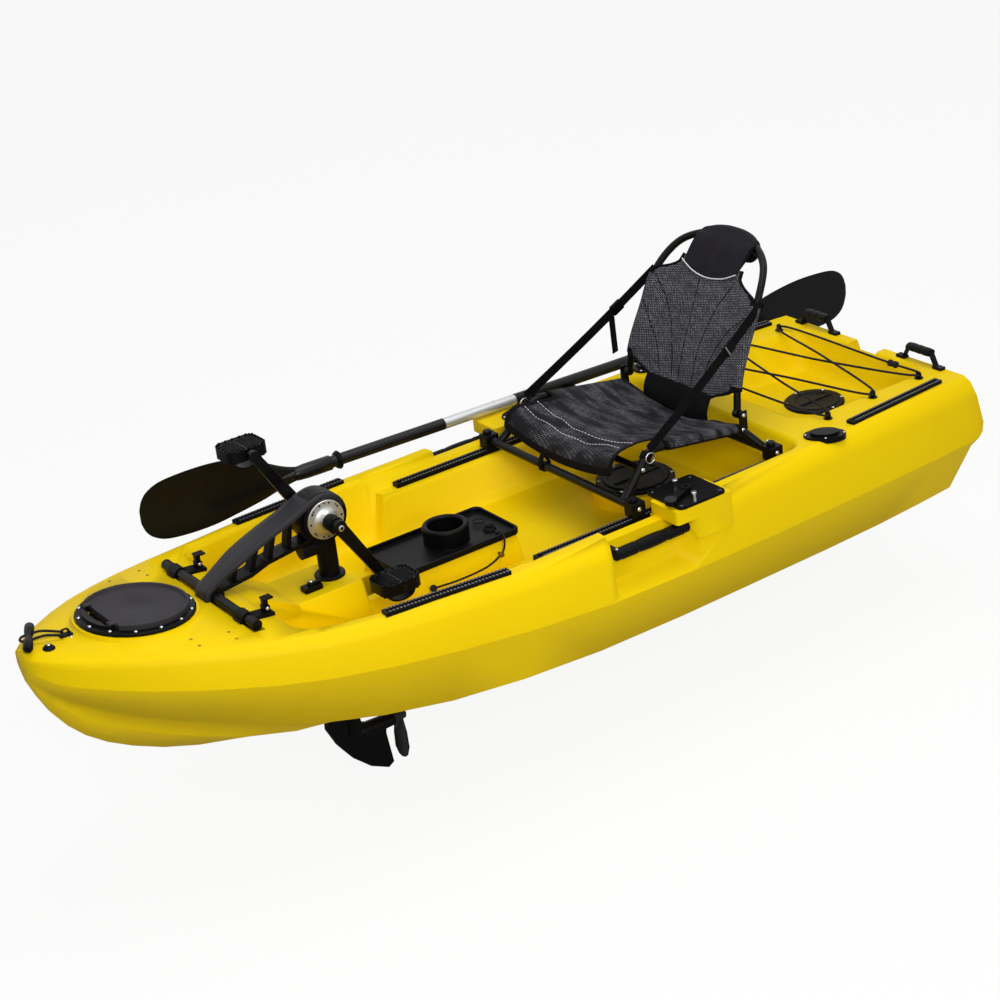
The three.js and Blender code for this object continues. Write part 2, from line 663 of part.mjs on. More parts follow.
function bossSolids(grow) {
  const solids = [PORT, STARBOARD].map((side) => {
    const y = [boss.inner + grow, boss.outer - grow].map((v) => v * side).toSorted((a, b) => a - b);
    const outline = rounded([
      [boss.rear + grow, y[0], 8],
      [boss.front - grow, y[0], 8],
      [boss.front - grow, y[1], 8],
      [boss.rear + grow, y[1], 8],
    ]);
    return prism(outline, boss.low + grow, boss.top - grow);
  });
  return fuse(...solids);
}

function hatchHole({ x, hole }, low, high) {
  return rod([x, 0, low], [x, 0, high], hole, 32);
}

// The bow hatch's own frame: its middle at the origin, leaning with the deck once it is set in place.
const onBowHatch = (made) => moved(turned(made, 0, -bowHatch.pitch, 0), bowHatch.x, 0, bowHatch.rise);

function bowHatchSeat(grow) {
  return onBowHatch(rod([0, 0, -overrun - bowHatch.frame], [0, 0, -grow], bowHatch.seat - grow, 40));
}

// A rod holder stands in its own frame too: its axis leans aft and outboard, its flange lies on the deck.
function onRodHolder(made, { x, y, side, turn, base = deckZ(x) }) {
  const placed = moved(turned(made, 0, 0, -turn), x, y, base);
  return side > 0 ? placed : placed.mirror([0, 1, 0]);
}

function rodTube(place, radius, above, below) {
  const down = [Math.sin(rodHolder.lean), Math.cos(rodHolder.lean)];
  return rod([down[0] * below, 0, -down[1] * below], [-down[0] * above, 0, down[1] * above], radius, 12);
}

function hullShell() {
  const outer = withPockets(fuse(hullForm(0), bowHatchSeat(0)).subtract(wells(0)), 0);
  const inner = fuse(hullForm(hull.wall), bowHatchSeat(hull.wall)).subtract(wells(hull.wall));
  const cavity = withPockets(inner, hull.wall);
  let shell = outer.subtract(cavity);
  for (const place of rodPlaces)
    shell = shell.subtract(onRodHolder(rodTube(place, rodHolder.tube + running, overrun, overrun), place));
  shell = shell.subtract(hatchHole(bowHatch, deckZ(bowHatch.x) - hull.wall * 3, hull.depth * 2));
  shell = shell.subtract(hatchHole(seatHatch, seatPad.top - hull.wall * 3, seatPad.top + overrun));
  shell = shell.subtract(hatchHole(sternHatch, tankWell.floor - hull.wall * 3, tankWell.floor + overrun));
  return shell.simplify(tidy);
}

part("hull", hullShell(), yellow);

// Everything that lies on the curved deck is trimmed to it, a gap clear.
const deckSkin = hullForm(-gap);
const toSide = (made, side) => (side > 0 ? made : made.mirror([0, 1, 0]));
const seated = (made) => made.subtract(deckSkin);
const sides = [[PORT, "port"], [STARBOARD, "starboard"]];
const v2 = (x, y) => new THREE.Vector2(x, y);
const screwHead = (x, y, z, sidesOf = 5) => rod([x, y, z - screw.tall], [x, y, z + screw.tall], screw.radius, sidesOf);

// Bow hatch
{
  const h = bowHatch;
  const ring = lathe([[h.hole + gap, gap], [h.radius, gap], [h.radius, h.frame - 3], [h.radius - 3, h.frame], [h.hole + gap, h.frame], [h.hole + gap, gap]], 32);
  const sill = rod([0, 0, h.frame - 1], [0, 0, h.hingeZ + 0.5], h.lid, 32)
    .subtract(rod([0, 0, 0], [0, 0, overrun * 2], h.hole - 1, 32))
    .intersect(block(h.hingeX + h.knuckle + 3, h.radius, -h.lugY - h.lugWide, h.lugY + h.lugWide, 0, overrun * 2));
  const lugs = sides.flatMap(([side]) => {
    const y = h.lugY * side;
    const ear = (from, to) =>
      rod([h.hingeX, from, h.hingeZ], [h.hingeX, to, h.hingeZ], h.knuckle, 12)
        .add(block(h.hingeX - h.knuckle, h.hingeX + h.knuckle, Math.min(from, to), Math.max(from, to), h.frame - 1, h.hingeZ));
    const inner = y - side * (h.lugWide / 2 + running);
    const outer = y + side * (h.lugWide / 2 + running);
    const pin = rod([h.hingeX, inner - side, h.hingeZ], [h.hingeX, outer + side, h.hingeZ], h.pin, 10);
    return [ear(inner, inner - side * 4), ear(outer, outer + side * 4), pin];
  });
  const screws = Array.from({ length: 14 }, (_, i) => {
    const angle = ((i + 0.5) / 14) * 2 * Math.PI;
    const reach = h.radius - screw.inset;
    return screwHead(reach * Math.cos(angle), reach * Math.sin(angle), h.frame);
  });
  part("bow_hatch_frame", onBowHatch(fuse(ring, sill, ...lugs, ...screws)), black);

  const low = h.frame + gap;
  const dish = lathe([[0, low - h.skirtDeep], [h.skirt, low - h.skirtDeep], [h.skirt, low], [h.lid, low], [h.lid, low + h.lidThick + h.lip], [h.lid - 6, low + h.lidThick + h.lip], [h.lid - 8, low + h.lidThick], [34, low + h.lidThick], [30, low + h.lidThick - 1.5], [0, low + h.lidThick - 1.5]], 32);
  const body = dish.subtract(block(h.chord, h.radius, -h.radius, h.radius, -overrun, overrun * 2));
  const arms = sides.flatMap(([side]) => {
    const from = h.lugY * side - h.lugWide / 2;
    const to = h.lugY * side + h.lugWide / 2;
    const knuckle = rod([h.hingeX, from, h.hingeZ], [h.hingeX, to, h.hingeZ], h.knuckle, 12);
    return [knuckle, block(h.chord - 4, h.hingeX, from, to, low, h.hingeZ + h.knuckle - 1)];
  });
  const bores = rod([h.hingeX, -h.radius, h.hingeZ], [h.hingeX, h.radius, h.hingeZ], h.pin + running, 10);
  part("bow_hatch_lid", onBowHatch(fuse(body, ...arms).subtract(bores)), darkGrey);
}

// Round screw-in hatches: a ring on the moulding and a lid with a moulded grip across it
function roundHatch(name, h) {
  const recess = around(h.lid + running, 24);
  const ring = lathe([[h.hole, gap], [h.radius, gap], [h.radius, h.frame - 3], [h.radius - 3, h.frame], [recess, h.frame], [recess, h.frame - 4], [h.hole, h.frame - 4], [h.hole, gap]], 24);
  const screws = Array.from({ length: 6 }, (_, i) => {
    const angle = ((i + 0.5) / 6) * 2 * Math.PI;
    const reach = (h.radius + h.lid) / 2;
    return screwHead(reach * Math.cos(angle), reach * Math.sin(angle), h.frame);
  });
  part(`${name}_frame`, moved(fuse(ring, ...screws), h.x, 0, h.base), black);
  const low = h.frame - 4 + gap;
  const disc = lathe([[0, low], [h.lid, low], [h.lid, low + h.lidThick - 1.5], [h.lid - 1.5, low + h.lidThick], [h.lid - 12, low + h.lidThick], [h.lid - 15, low + h.lidThick - 3], [0, low + h.lidThick - 3]], 24);
  const grip = block(-h.lid + 13, h.lid - 13, -h.grip / 2, h.grip / 2, low, low + h.lidThick);
  part(`${name}_lid`, moved(fuse(disc, grip), h.x, 0, h.base), darkGrey);
}
roundHatch("seat_hatch", seatHatch);
roundHatch("stern_hatch", sternHatch);

// Bow toggle on its cord, and the eye that the cord is tied to
const bowDeck = deckZ(padEye.x) + hull.bowRise;
{
  const t = toggle;
  const grip = (from, to, r0, r1) => rod([t.x, t.y + from, t.z], [t.x, t.y + to, t.z], r0, 14, r1);
  const bulb = t.half * 0.45;
  const body = fuse(grip(-t.half, -t.half + 6, t.radius - 4, t.radius), grip(-t.half + 6, -bulb, t.radius, t.radius), grip(-bulb, -4, t.radius, t.neck), grip(-4, 4, t.neck, t.neck), grip(4, bulb, t.neck, t.radius), grip(bulb, t.half - 6, t.radius, t.radius), grip(t.half - 6, t.half, t.radius, t.radius - 4));
  const bores = [-14, 14].map((dy) => rod([t.x - overrun, t.y + dy, t.z], [t.x + overrun, t.y + dy, t.z], cord.radius + 2, 8));
  part("bow_toggle", bores.reduce((left, bore) => left.subtract(bore), body), black);
  const e = padEye;
  const base = block(e.x - e.long / 2, e.x + e.long / 2, -e.wide / 2, e.wide / 2, bowDeck - 8, bowDeck + e.thick);
  const hoop = sideways(rounded([[e.x - 12, bowDeck, 0], [e.x + 12, bowDeck, 0], [e.x + 9, bowDeck + 17, 6], [e.x - 9, bowDeck + 17, 6]]), -3, 3)
    .subtract(rod([e.x, -10, bowDeck + 8.5], [e.x, 10, bowDeck + 8.5], 6.2, 12));
  part("bow_pad_eye", seated(fuse(base, hoop)), black);
  const z = bowDeck + 8.5;
  const lead = [
    [e.x + 2.7, -4, z],
    [e.x + 2.7, 4, z],
    [e.x + 9, 10, z + 1],
    [t.x - 30, t.y + 20, t.z + 1],
    [t.x - 10, t.y + 14, t.z],
    [t.x + 10, t.y + 14, t.z],
    [t.x + 20, t.y, t.z],
    [t.x + 10, t.y - 14, t.z],
    [t.x - 10, t.y - 14, t.z],
    [t.x - 30, t.y - 8, t.z + 1],
    [e.x + 9, -10, z + 1],
  ];
  part("toggle_cord", tube(lead, cord.radius, 5, 3, true), webbing);
}

// Slotted tracks on the deck: a bar with a T-slot along its top
function slottedBar(long, width, height, slot, slotDeep, low) {
  const body = block(0, long, -width / 2, width / 2, low, height);
  const mouth = block(6, long - 6, -slot / 2, slot / 2, height - slotDeep, height + overrun);
  const undercut = block(6, long - 6, -slot / 2 - 3, slot / 2 + 3, height - slotDeep, height - slotDeep / 2);
  return body.subtract(mouth).subtract(undercut);
}
for (const [name, [x0, y0], [x1, y1]] of trackRuns) {
  const from = new THREE.Vector3(x0, y0, deckZ(x0));
  const to = new THREE.Vector3(x1, y1, deckZ(x1));
  const long = from.distanceTo(to);
  const heading = THREE.MathUtils.radToDeg(Math.atan2(y1 - y0, x1 - x0));
  const pitch = THREE.MathUtils.radToDeg(Math.asin((to.z - from.z) / long));
  const made = slottedBar(long, track.width, track.height, track.slot, track.slotDeep, -track.height * 2);
  const placed = moved(turned(turned(made, 0, -pitch, 0), 0, 0, heading), ...from.toArray());
  for (const [side, word] of sides) part(`${name}_${word}`, seated(toSide(placed, side)), black);
}
{
  const long = rail.front - rail.rear;
  const made = moved(slottedBar(long, rail.width, rail.height, rail.slot, rail.slotDeep, gap), rail.rear, rail.y, cockpit.ledge);
  for (const [side, word] of sides) part(`seat_rail_${word}`, toSide(made, side), black);
}

// Side handles: a round bar on two brackets in each side pocket
{
  const b = sideBar;
  const grip = rod([b.rear + 4, b.y, b.z], [b.front - 4, b.y, b.z], b.radius, 12);
  const ribs = Array.from({ length: 5 }, (_, i) => {
    const x = b.rear + 60 + i * 22;
    return rod([x, b.y, b.z], [x + 12, b.y, b.z], b.radius + 1.2, 12);
  });
  const brackets = [b.rear + 4, b.front - 4 - b.bracket].map((x) =>
    block(x, x + b.bracket, sideRecess.back + gap, b.y, b.z - b.bracketTall / 2, b.z + b.bracketTall / 2),
  );
  const made = fuse(grip, ...ribs, ...brackets);
  for (const [side, word] of sides) part(`side_handle_${word}`, toSide(made, side), black);
}

// Stern handles: a strap on two feet with a ribbed grip round its middle
{
  const h = sternHandle;
  const z = deckZ(h.x);
  const top = z + h.rise;
  const line = [[-h.half - h.foot, z + h.footTall], [-h.half + h.foot * 0.6, z + h.footTall], [-h.grip, top], [h.grip, top], [h.half - h.foot * 0.6, z + h.footTall], [h.half + h.foot, z + h.footTall]];
  const outline = [...line.map(([y, up]) => v2(y, up)), ...line.toReversed().map(([y, up]) => v2(y, up - h.thick))];
  const webbed = turned(sideways(outline, -h.strap / 2, h.strap / 2), 0, 0, 90);
  const feet = [-h.half, h.half].map((y) => block(-h.strap / 2, h.strap / 2, y - h.foot, y + h.foot, -overrun, h.footTall - 1));
  const sleeve = turned(rod([0, -h.grip, 0], [0, h.grip, 0], h.gripWall + h.strap / 2, 12), 0, 0, 0).scale([1, 1, 0.7]);
  const ribs = Array.from({ length: 3 }, (_, i) =>
    rod([0, -h.grip + 8 + i * 24, 0], [0, -h.grip + 24 + i * 24, 0], h.gripWall + h.strap / 2 + h.rib, 12).scale([1, 1, 0.7]),
  );
  const made = fuse(webbed, moved(fuse(sleeve, ...ribs), 0, 0, top - h.thick / 2), ...feet.map((foot) => moved(foot, 0, 0, z)));
  for (const [side, word] of sides) part(`stern_handle_${word}`, seated(toSide(moved(made, h.x, h.y, 0), side)), black);
}

// Flush rod holders: an oval flange on the deck, a leaning tube below it and a cap
for (const place of rodPlaces) {
  const r = rodHolder;
  const oval = (grow, low, high) => rod([0, 0, low], [0, 0, high], r.wide + grow, 18).scale([r.long / r.wide, 1, 1]);
  const flange = oval(0, place.base ? gap : -8, r.flange);
  const body = place.base ? onRodHolder(flange, place) : seated(onRodHolder(flange, place));
  const pipe = onRodHolder(rodTube(place, r.tube, 0, place.sunk), place);
  const bore = onRodHolder(rodTube(place, r.bore, -r.flange * 2, place.sunk + overrun), place);
  const lid = onRodHolder(oval(-10, r.flange - 1, r.flange + r.cap), place);
  part(place.name, fuse(body, pipe).subtract(bore).add(lid), black);
}

// Steering plate on the port boss with its lever and two bright posts
{
  const p = plate;
  const z = boss.top;
  const h = p.size / 2;
  const slab = prism(rounded([[p.x - h, p.y - h + 2, p.corner], [p.x + h, p.y - h + 2, p.corner], [p.x + h, p.y + h - 2, p.corner], [p.x - h, p.y + h - 2, p.corner]]), z + gap, z + p.thick);
  const pivot = rod([steer.x, steer.y, z + p.thick - 1], [steer.x, steer.y, z + p.thick + steer.hubTall + 4], 4, 12);
  const posts = post.places.map(([x, y]) => rod([x, y, z + p.thick - 1], [x, y, z + p.thick + post.height], post.radius, 12));
  const bolts = [[-1, -1], [1, -1], [1, 1], [-1, 1]].map(([a, b]) => screwHead(p.x + a * (h - 12), p.y + b * (h - 14), z + p.thick));
  part("steering_plate", fuse(slab, pivot, ...posts, ...bolts), black);
  const low = z + p.thick + gap;
  const hubTop = low + steer.hubTall;
  const hub = rod([0, 0, low], [0, 0, hubTop], steer.hub, 16);
  const arm = block(0, steer.reach, -steer.arm, steer.arm, low + 5, low + 5 + steer.thick);
  const knob = rod([steer.reach, 0, low + 2], [steer.reach, 0, low + 2 + steer.knobTall], steer.knob, 16);
  const made = fuse(hub, arm, knob).subtract(rod([0, 0, 0], [0, 0, hull.depth * 2], 4 + running, 12));
  part("steering_lever", moved(turned(made, 0, 0, steer.angle), steer.x, steer.y, 0), black);
}

// Bungee over the tank well: six eyes, one closed loop and its cord lock
for (const [word, x, y] of bungee.eyes) {
  const z = deckZ(x);
  const base = rod([x, y, z - 8], [x, y, z + 2], bungee.eye + 3, 10);
  const hoop = rod([x - bungee.wire, y, z + bungee.rise], [x + bungee.wire, y, z + bungee.rise], bungee.eye, 12)
    .add(block(x - bungee.wire, x + bungee.wire, y - 6, y + 6, z, z + bungee.rise))
    .subtract(rod([x - overrun, y, z + bungee.rise], [x + overrun, y, z + bungee.rise], bungee.radius + 1.3, 10));
  for (const [side, sideWord] of sides) part(`bungee_eye_${word}_${sideWord}`, seated(toSide(fuse(base, hoop), side)), black);
}
{
  const [front, mid, rear] = bungee.eyes;
  const through = ([, x, y], side, way) =>
    [-1, 0, 1].map((step) => [x + step * way * 9, (y - 0.6 - Math.abs(step) * 3) * side, deckZ(x) + bungee.rise]);
  const crossing = (a, b, lift) => [(a[1] + b[1]) / 2, 0, deckZ(a[1]) + bungee.rise + lift];
  const lift = bungee.radius * 2;
  const loop = [
    ...through(rear, STARBOARD, -1),
    ...through(rear, PORT, 1),
    crossing(rear, mid, -lift),
    ...through(mid, STARBOARD, 1),
    crossing(mid, front, -lift),
    ...through(front, PORT, 1),
    ...through(front, STARBOARD, -1),
    crossing(front, mid, lift),
    ...through(mid, PORT, -1),
    crossing(mid, rear, lift),
  ];
  const lock = rod([rear[1] - 9, 150, deckZ(rear[1]) + bungee.rise], [rear[1] - 9, 178, deckZ(rear[1]) + bungee.rise], 9, 10);
  part("tank_bungee", fuse(tube(loop, bungee.radius, 5, 2, true), lock), webbing);
}

// Console tray with a raised cup holder and a small rimmed bay at its after end
{
  const t = tray;
  const z = spine.consoleTop + gap;
  const outline = (inset) =>
    rounded([[t.rear + inset, -t.half + inset, t.corner], [t.front - inset, -t.half + inset, t.corner], [t.front - inset, t.half - inset, t.corner], [t.rear + inset, t.half - inset, t.corner]]);
  const slab = prism(outline(0), z, z + t.floor + t.rim);
  const sunk = prism(outline(t.rimWide), z + t.floor, z + overrun * 2);
  const cup = rod([t.cupX, 0, z], [t.cupX, 0, z + t.cupTop], t.cupRadius, 24);
  const bore = rod([t.cupX, 0, z + t.floor], [t.cupX, 0, z + overrun * 4], t.cupBore, 24);
  const ring = lathe([[t.ring, 0], [t.ring + 4, 0], [t.ring + 4, 5], [t.ring, 5], [t.ring, 0]], 16);
  const bay = moved(ring, t.ringX, 26, z + t.floor - 1);
  part("console_tray", fuse(slab.subtract(sunk), cup, bay).subtract(bore), black);
  const side = t.half + 6;
  const run = [[t.ringX, 50, z + 6.8], [t.ringX + 2, 66, z + 9], [t.ringX + 6, t.half - 4, z + 20], [t.ringX + 8, side + 2, z + 8], [t.ringX + 14, side + 3, z - 20], [t.ringX + 26, side + 2, z - 32], [t.ringX + 60, side + 2, z - 46], [t.ringX + 140, side + 4, z - 50], [t.ringX + 220, side + 6, z - 44]];
  const ball = moved(solid(new THREE.SphereGeometry(cord.ball, 8, 6)), ...run.at(-1));
  part("tray_cord", fuse(tube(run, cord.radius - 0.5, 5, 2), ball), webbing);
}

// The drive: pivot bar, bracket, gearbox head, leg, propeller, cranks and pedals
part("front_pivot_bar", rod([bar.x, -bar.half, bar.z], [bar.x, bar.half, bar.z], bar.radius, 20).subtract(rod([bar.x, -bar.half - overrun, bar.z], [bar.x, bar.half + overrun, bar.z], bar.bore, 20)), steel);
for (const [side, word] of sides) {
  const l = latch;
  const low = deckZ(l.rear) - overrun;
  const deck = (x) => deckZ(x) + l.top + 3;
  const base = sideways([v2(l.rear, low), v2(l.front, low), v2(l.front, deck(l.front)), v2(l.rear, deck(l.rear))], l.y - l.wide / 2, l.y + l.wide / 2);
  const ring = rod([bar.x, l.y - l.wide / 2, bar.z], [bar.x, l.y + l.wide / 2, bar.z], bar.radius + l.wall, 20);
  const ears = [l.eye + running, -l.eye - running - l.ear].map((dy) => block(l.pinX - 7, l.pinX + 7, l.y + dy, l.y + dy + l.ear, low, l.pinZ + 6));
  const pin = rod([l.pinX, l.y - l.eye - 2, l.pinZ], [l.pinX, l.y + l.eye + 2, l.pinZ], l.pin, 10);
  const room = block(l.pinX - 13, l.pinX + 13, l.y - l.eye - running, l.y + l.eye + running, l.pinZ - l.eye - 1.5, l.pinZ + overrun);
  const bore = rod([bar.x, 0, bar.z], [bar.x, hull.beam, bar.z], bar.radius + running, 20);
  const trough = rod([bar.x, 0, bar.z], [bar.x, barTrough.half, bar.z], barTrough.radius - gap, 16);
  const hung = fuse(toSide(ring.intersect(trough), side), seated(toSide(fuse(base, ring, ...ears), side)).subtract(toSide(room, side)));
  part(`latch_saddle_${word}`, hung.add(seated(toSide(fuse(pin, ...ears), side))).subtract(toSide(bore, side)), black);
  const lever = rod([l.pinX, l.y - l.eye, l.pinZ], [l.pinX, l.y + l.eye, l.pinZ], l.eye, 12)
    .add(block(l.pinX - 4, l.pinX + 4, l.y - l.eye, l.y + l.eye, l.pinZ, l.pinZ + l.lever))
    .add(block(l.pinX - 12, l.pinX + 4, l.y - l.eye - 5, l.y + l.eye + 5, l.pinZ + l.lever - 7, l.pinZ + l.lever))
    .subtract(rod([l.pinX, 0, l.pinZ], [l.pinX, hull.beam, l.pinZ], l.pin + running, 10));
  part(`latch_lever_${word}`, toSide(lever, side), darkGrey);
}
{
  const a = arch;
  const chord = (points, thick) =>
    points.slice(1).map((to, i) => {
      const from = points[i];
      const long = Math.hypot(to[0] - from[0], to[1] - from[1]);
      const bar = block(-2, long + 2, -a.half, a.half, -thick / 2, thick / 2);
      const pitch = THREE.MathUtils.radToDeg(Math.atan2(to[1] - from[1], to[0] - from[0]));
      return moved(turned(bar, 0, -pitch, 0), from[0], 0, from[1]);
    });
  const webs = archWebs.flatMap((web) => chord(web, a.web).map((made) => made.scale([1, a.webHalf / a.half, 1])));
  const eye = rod([bar.x, -a.half, bar.z], [bar.x, a.half, bar.z], a.eye, 24);
  const band = rod([crank.x, -a.half, crank.z], [crank.x, a.half, crank.z], head.radius + gap + a.band, 28);
  const bracket = fuse(eye, band, ...chord(archTop, a.thick), ...chord(archLow, a.thick), ...webs);
  const room = fuse(
    rod([crank.x, -a.half * 2, crank.z], [crank.x, a.half * 2, crank.z], head.radius + gap, 28),
    rod([bar.x, -a.half * 2, bar.z], [bar.x, a.half * 2, bar.z], bar.radius + gap, 20),
    rod([head.columnX, 0, 0], [head.columnX, 0, crank.z], head.column + gap, 24),
    rod([head.columnX, 0, head.knobZ], [head.knobX + 2, 0, head.knobZ], head.knob + gap, 20),
  );
  part("drive_arch", bracket.subtract(room), painted);
}
{
  const h = head;
  const gearbox = rod([crank.x, -h.half, crank.z], [crank.x, h.half, crank.z], h.radius, 28);
  const column = rod([h.columnX, 0, spine.top + gap], [h.columnX, 0, crank.z], h.column, 24);
  const flange = lathe([[0, 0], [h.flange, 0], [h.flange, h.flangeThick - 2], [h.flange - 2, h.flangeThick], [0, h.flangeThick]], 28);
  const knob = rod([h.columnX, 0, h.knobZ], [h.knobX, 0, h.knobZ], h.knob, 20);
  const covers = sides.map(([side]) => {
    const y = (v) => v * side;
    const disc = rod([crank.x, y(h.half - 1), crank.z], [crank.x, y(h.half + cover.thick), crank.z], cover.radius, 24);
    const neck = rod([crank.x, y(h.half), crank.z], [crank.x, y(h.half + cover.bossTall), crank.z], cover.boss, 20, cover.boss - 4);
    const screws = Array.from({ length: cover.screws }, (_, i) => {
      const angle = (i / cover.screws) * 2 * Math.PI;
      const reach = cover.radius - 6;
      return rod([crank.x + reach * Math.cos(angle), y(h.half), crank.z + reach * Math.sin(angle)], [crank.x + reach * Math.cos(angle), y(h.half + cover.thick + screw.tall), crank.z + reach * Math.sin(angle)], screw.radius, 5);
    });
    return fuse(disc, neck, ...screws);
  });
  const axle = rod([crank.x, -crank.y * 2, crank.z], [crank.x, crank.y * 2, crank.z], crank.spindle + running, 16);
  part("drive_head", fuse(gearbox, column, moved(flange, h.columnX, 0, spine.top + gap), knob, ...covers).subtract(axle), black);
}
{
  const c = crank;
  const angle = THREE.MathUtils.degToRad(c.angle);
  const along = [Math.cos(angle), Math.sin(angle)];
  const inner = c.y - c.thick / 2;
  const outer = c.y + c.thick / 2;
  const shaft = rod([c.x, -inner - 2, c.z], [c.x, inner + 2, c.z], c.spindle, 16);
  const arms = sides.map(([side]) => {
    const end = [c.x + along[0] * c.arm * side, c.z + along[1] * c.arm * side];
    const across = [-along[1], along[0]];
    const corner = ([x, z], r, s) => v2(x + across[0] * r * s, z + across[1] * r * s);
    const flat = [corner([c.x, c.z], c.hub * 0.9, 1), corner(end, c.end * 0.9, 1), corner(end, c.end * 0.9, -1), corner([c.x, c.z], c.hub * 0.9, -1)];
    const blade = toSide(sideways(flat, inner, outer), side);
    const y = (v) => v * side;
    const hub = rod([c.x, y(inner), c.z], [c.x, y(outer), c.z], c.hub, 20);
    const eye = rod([end[0], y(inner), end[1]], [end[0], y(outer), end[1]], c.end, 16);
    const bolt = rod([c.x, y(outer - 1), c.z], [c.x, y(outer + 3), c.z], c.bolt, 12);
    const axle = rod([end[0], y(outer - 1), end[1]], [end[0], y(pedal.y + pedal.wide / 2 + 2), end[1]], pedal.axle - running, 12);
    return fuse(blade, hub, eye, bolt, axle);
  });
  part("crank", fuse(shaft, ...arms), painted);

  const p = pedal;
  for (const [side, word] of sides) {
    const end = [c.x + along[0] * c.arm * side, c.z + along[1] * c.arm * side];
    const near = p.y - p.wide / 2;
    const far = p.y + p.wide / 2;
    const sole = sideways(rounded([[-p.long / 2, -p.thick / 2, 8], [p.long / 2, -p.thick / 2, 8], [p.long / 2, p.thick / 2, 8], [-p.long / 2, p.thick / 2, 8]], 2), near, far);
    const windows = [-1, 1].map((s) => block(s * 29 - 13, s * 29 + 13, near + 14, far - 14, -p.thick, p.thick));
    const teeth = [-1, 1].flatMap((s) => [-1, 1].map((t) => block(s * 46 - 3, s * 46 + 3, near + 6, far - 6, t * (p.thick / 2) - p.tooth, t * (p.thick / 2) + p.tooth)));
    const hoop = [[-p.long / 2 + 8, -p.thick / 2 + 6], [-p.long / 2 + 20, -p.drop + 6], [-10, -p.drop], [20, -p.drop + 8], [p.long / 2 - 8, -p.thick / 2 + 6]];
    const strapBand = sideways(band(hoop, p.strap), p.y - 17, p.y + 17);
    const body = fuse(windows.reduce((left, cut) => left.subtract(cut), sole), ...teeth, strapBand);
    const bored = body.subtract(rod([0, near - 1, 0], [0, far + 1, 0], p.axle, 12));
    part(`pedal_${word}`, moved(toSide(bored, side), end[0], 0, end[1]), black);
  }
}
{
  const l = leg;
  const tubeLeg = rod([head.columnX, 0, l.podZ], [head.columnX, 0, spine.top], l.radius, 24);
  const blade = sideways(finCorners.map(([x, z]) => v2(x, z)), -fin.half, fin.half);
  const pod = rod([l.podRear, 0, l.podZ], [l.podFront, 0, l.podZ], l.podRadius - 3, 20, l.podRadius);
  const nose = rod([l.podFront, 0, l.podZ], [l.podFront + 34, 0, l.podZ], l.podRadius, 20, 8);
  const shaft = rod([prop.rear - 4, 0, l.podZ], [l.podRear + 2, 0, l.podZ], 5, 12);
  part("drive_leg", fuse(tubeLeg, blade, pod, nose, shaft), black);
  const p = prop;
  const hub = rod([p.front, 0, 0], [p.rear, 0, 0], p.hub, 20, p.hub - 6);
  const blades = [0, 180].map((angle) => {
    const rings = [[p.hub - 6, 0.6, p.root], [p.radius * 0.4, 0.9, p.root * 0.72], [p.radius * 0.75, 1, (p.root + p.tip) / 2.4], [p.radius * 0.94, 0.72, p.tip], [p.radius, 0.3, p.tip]].map(([r, share, twist]) => {
      const half = (p.chord / 2) * share;
      const thick = (p.thick / 2) * (share + 0.2);
      const slant = THREE.MathUtils.degToRad(twist);
      return [[-half, 0], [-half * 0.3, -thick], [half, 0], [-half * 0.3, thick]].map(([along, up]) =>
        new THREE.Vector3((p.front + p.rear) / 2 + along * Math.sin(slant) + up * Math.cos(slant), along * Math.cos(slant) - up * Math.sin(slant), r),
      );
    });
    return turned(loft(rings), angle, 0, 0);
  });
  const whole = fuse(hub, ...blades).subtract(rod([p.front + 10, 0, 0], [p.rear - 10, 0, 0], 5 + running, 12));
  part("propeller", moved(whole, 0, 0, l.podZ), darkGrey);
}
{
  const c = clampPost;
  const z = spine.top;
  const body = block(c.x - c.long / 2, c.x + c.long / 2, c.y - c.wide / 2, c.y + c.wide / 2, z + gap, z + c.tall);
  const pin = rod([c.x, c.y, z + c.tall - 1], [c.x, c.y, z + c.tall + c.leverThick + 3], c.pin, 12);
  part("base_clamp", fuse(body, pin), black);
  const low = z + c.tall + gap;
  const lever = block(c.x - c.lever, c.x, c.y + 2 - c.leverWide / 2, c.y + 2 + c.leverWide / 2, low, low + c.leverThick)
    .add(rod([c.x, c.y, low], [c.x, c.y, low + c.leverThick], c.pin + 5, 14))
    .subtract(rod([c.x, c.y, low - 5], [c.x, c.y, low + 20], c.pin + running, 12));
  part("base_lever", lever, black);
}

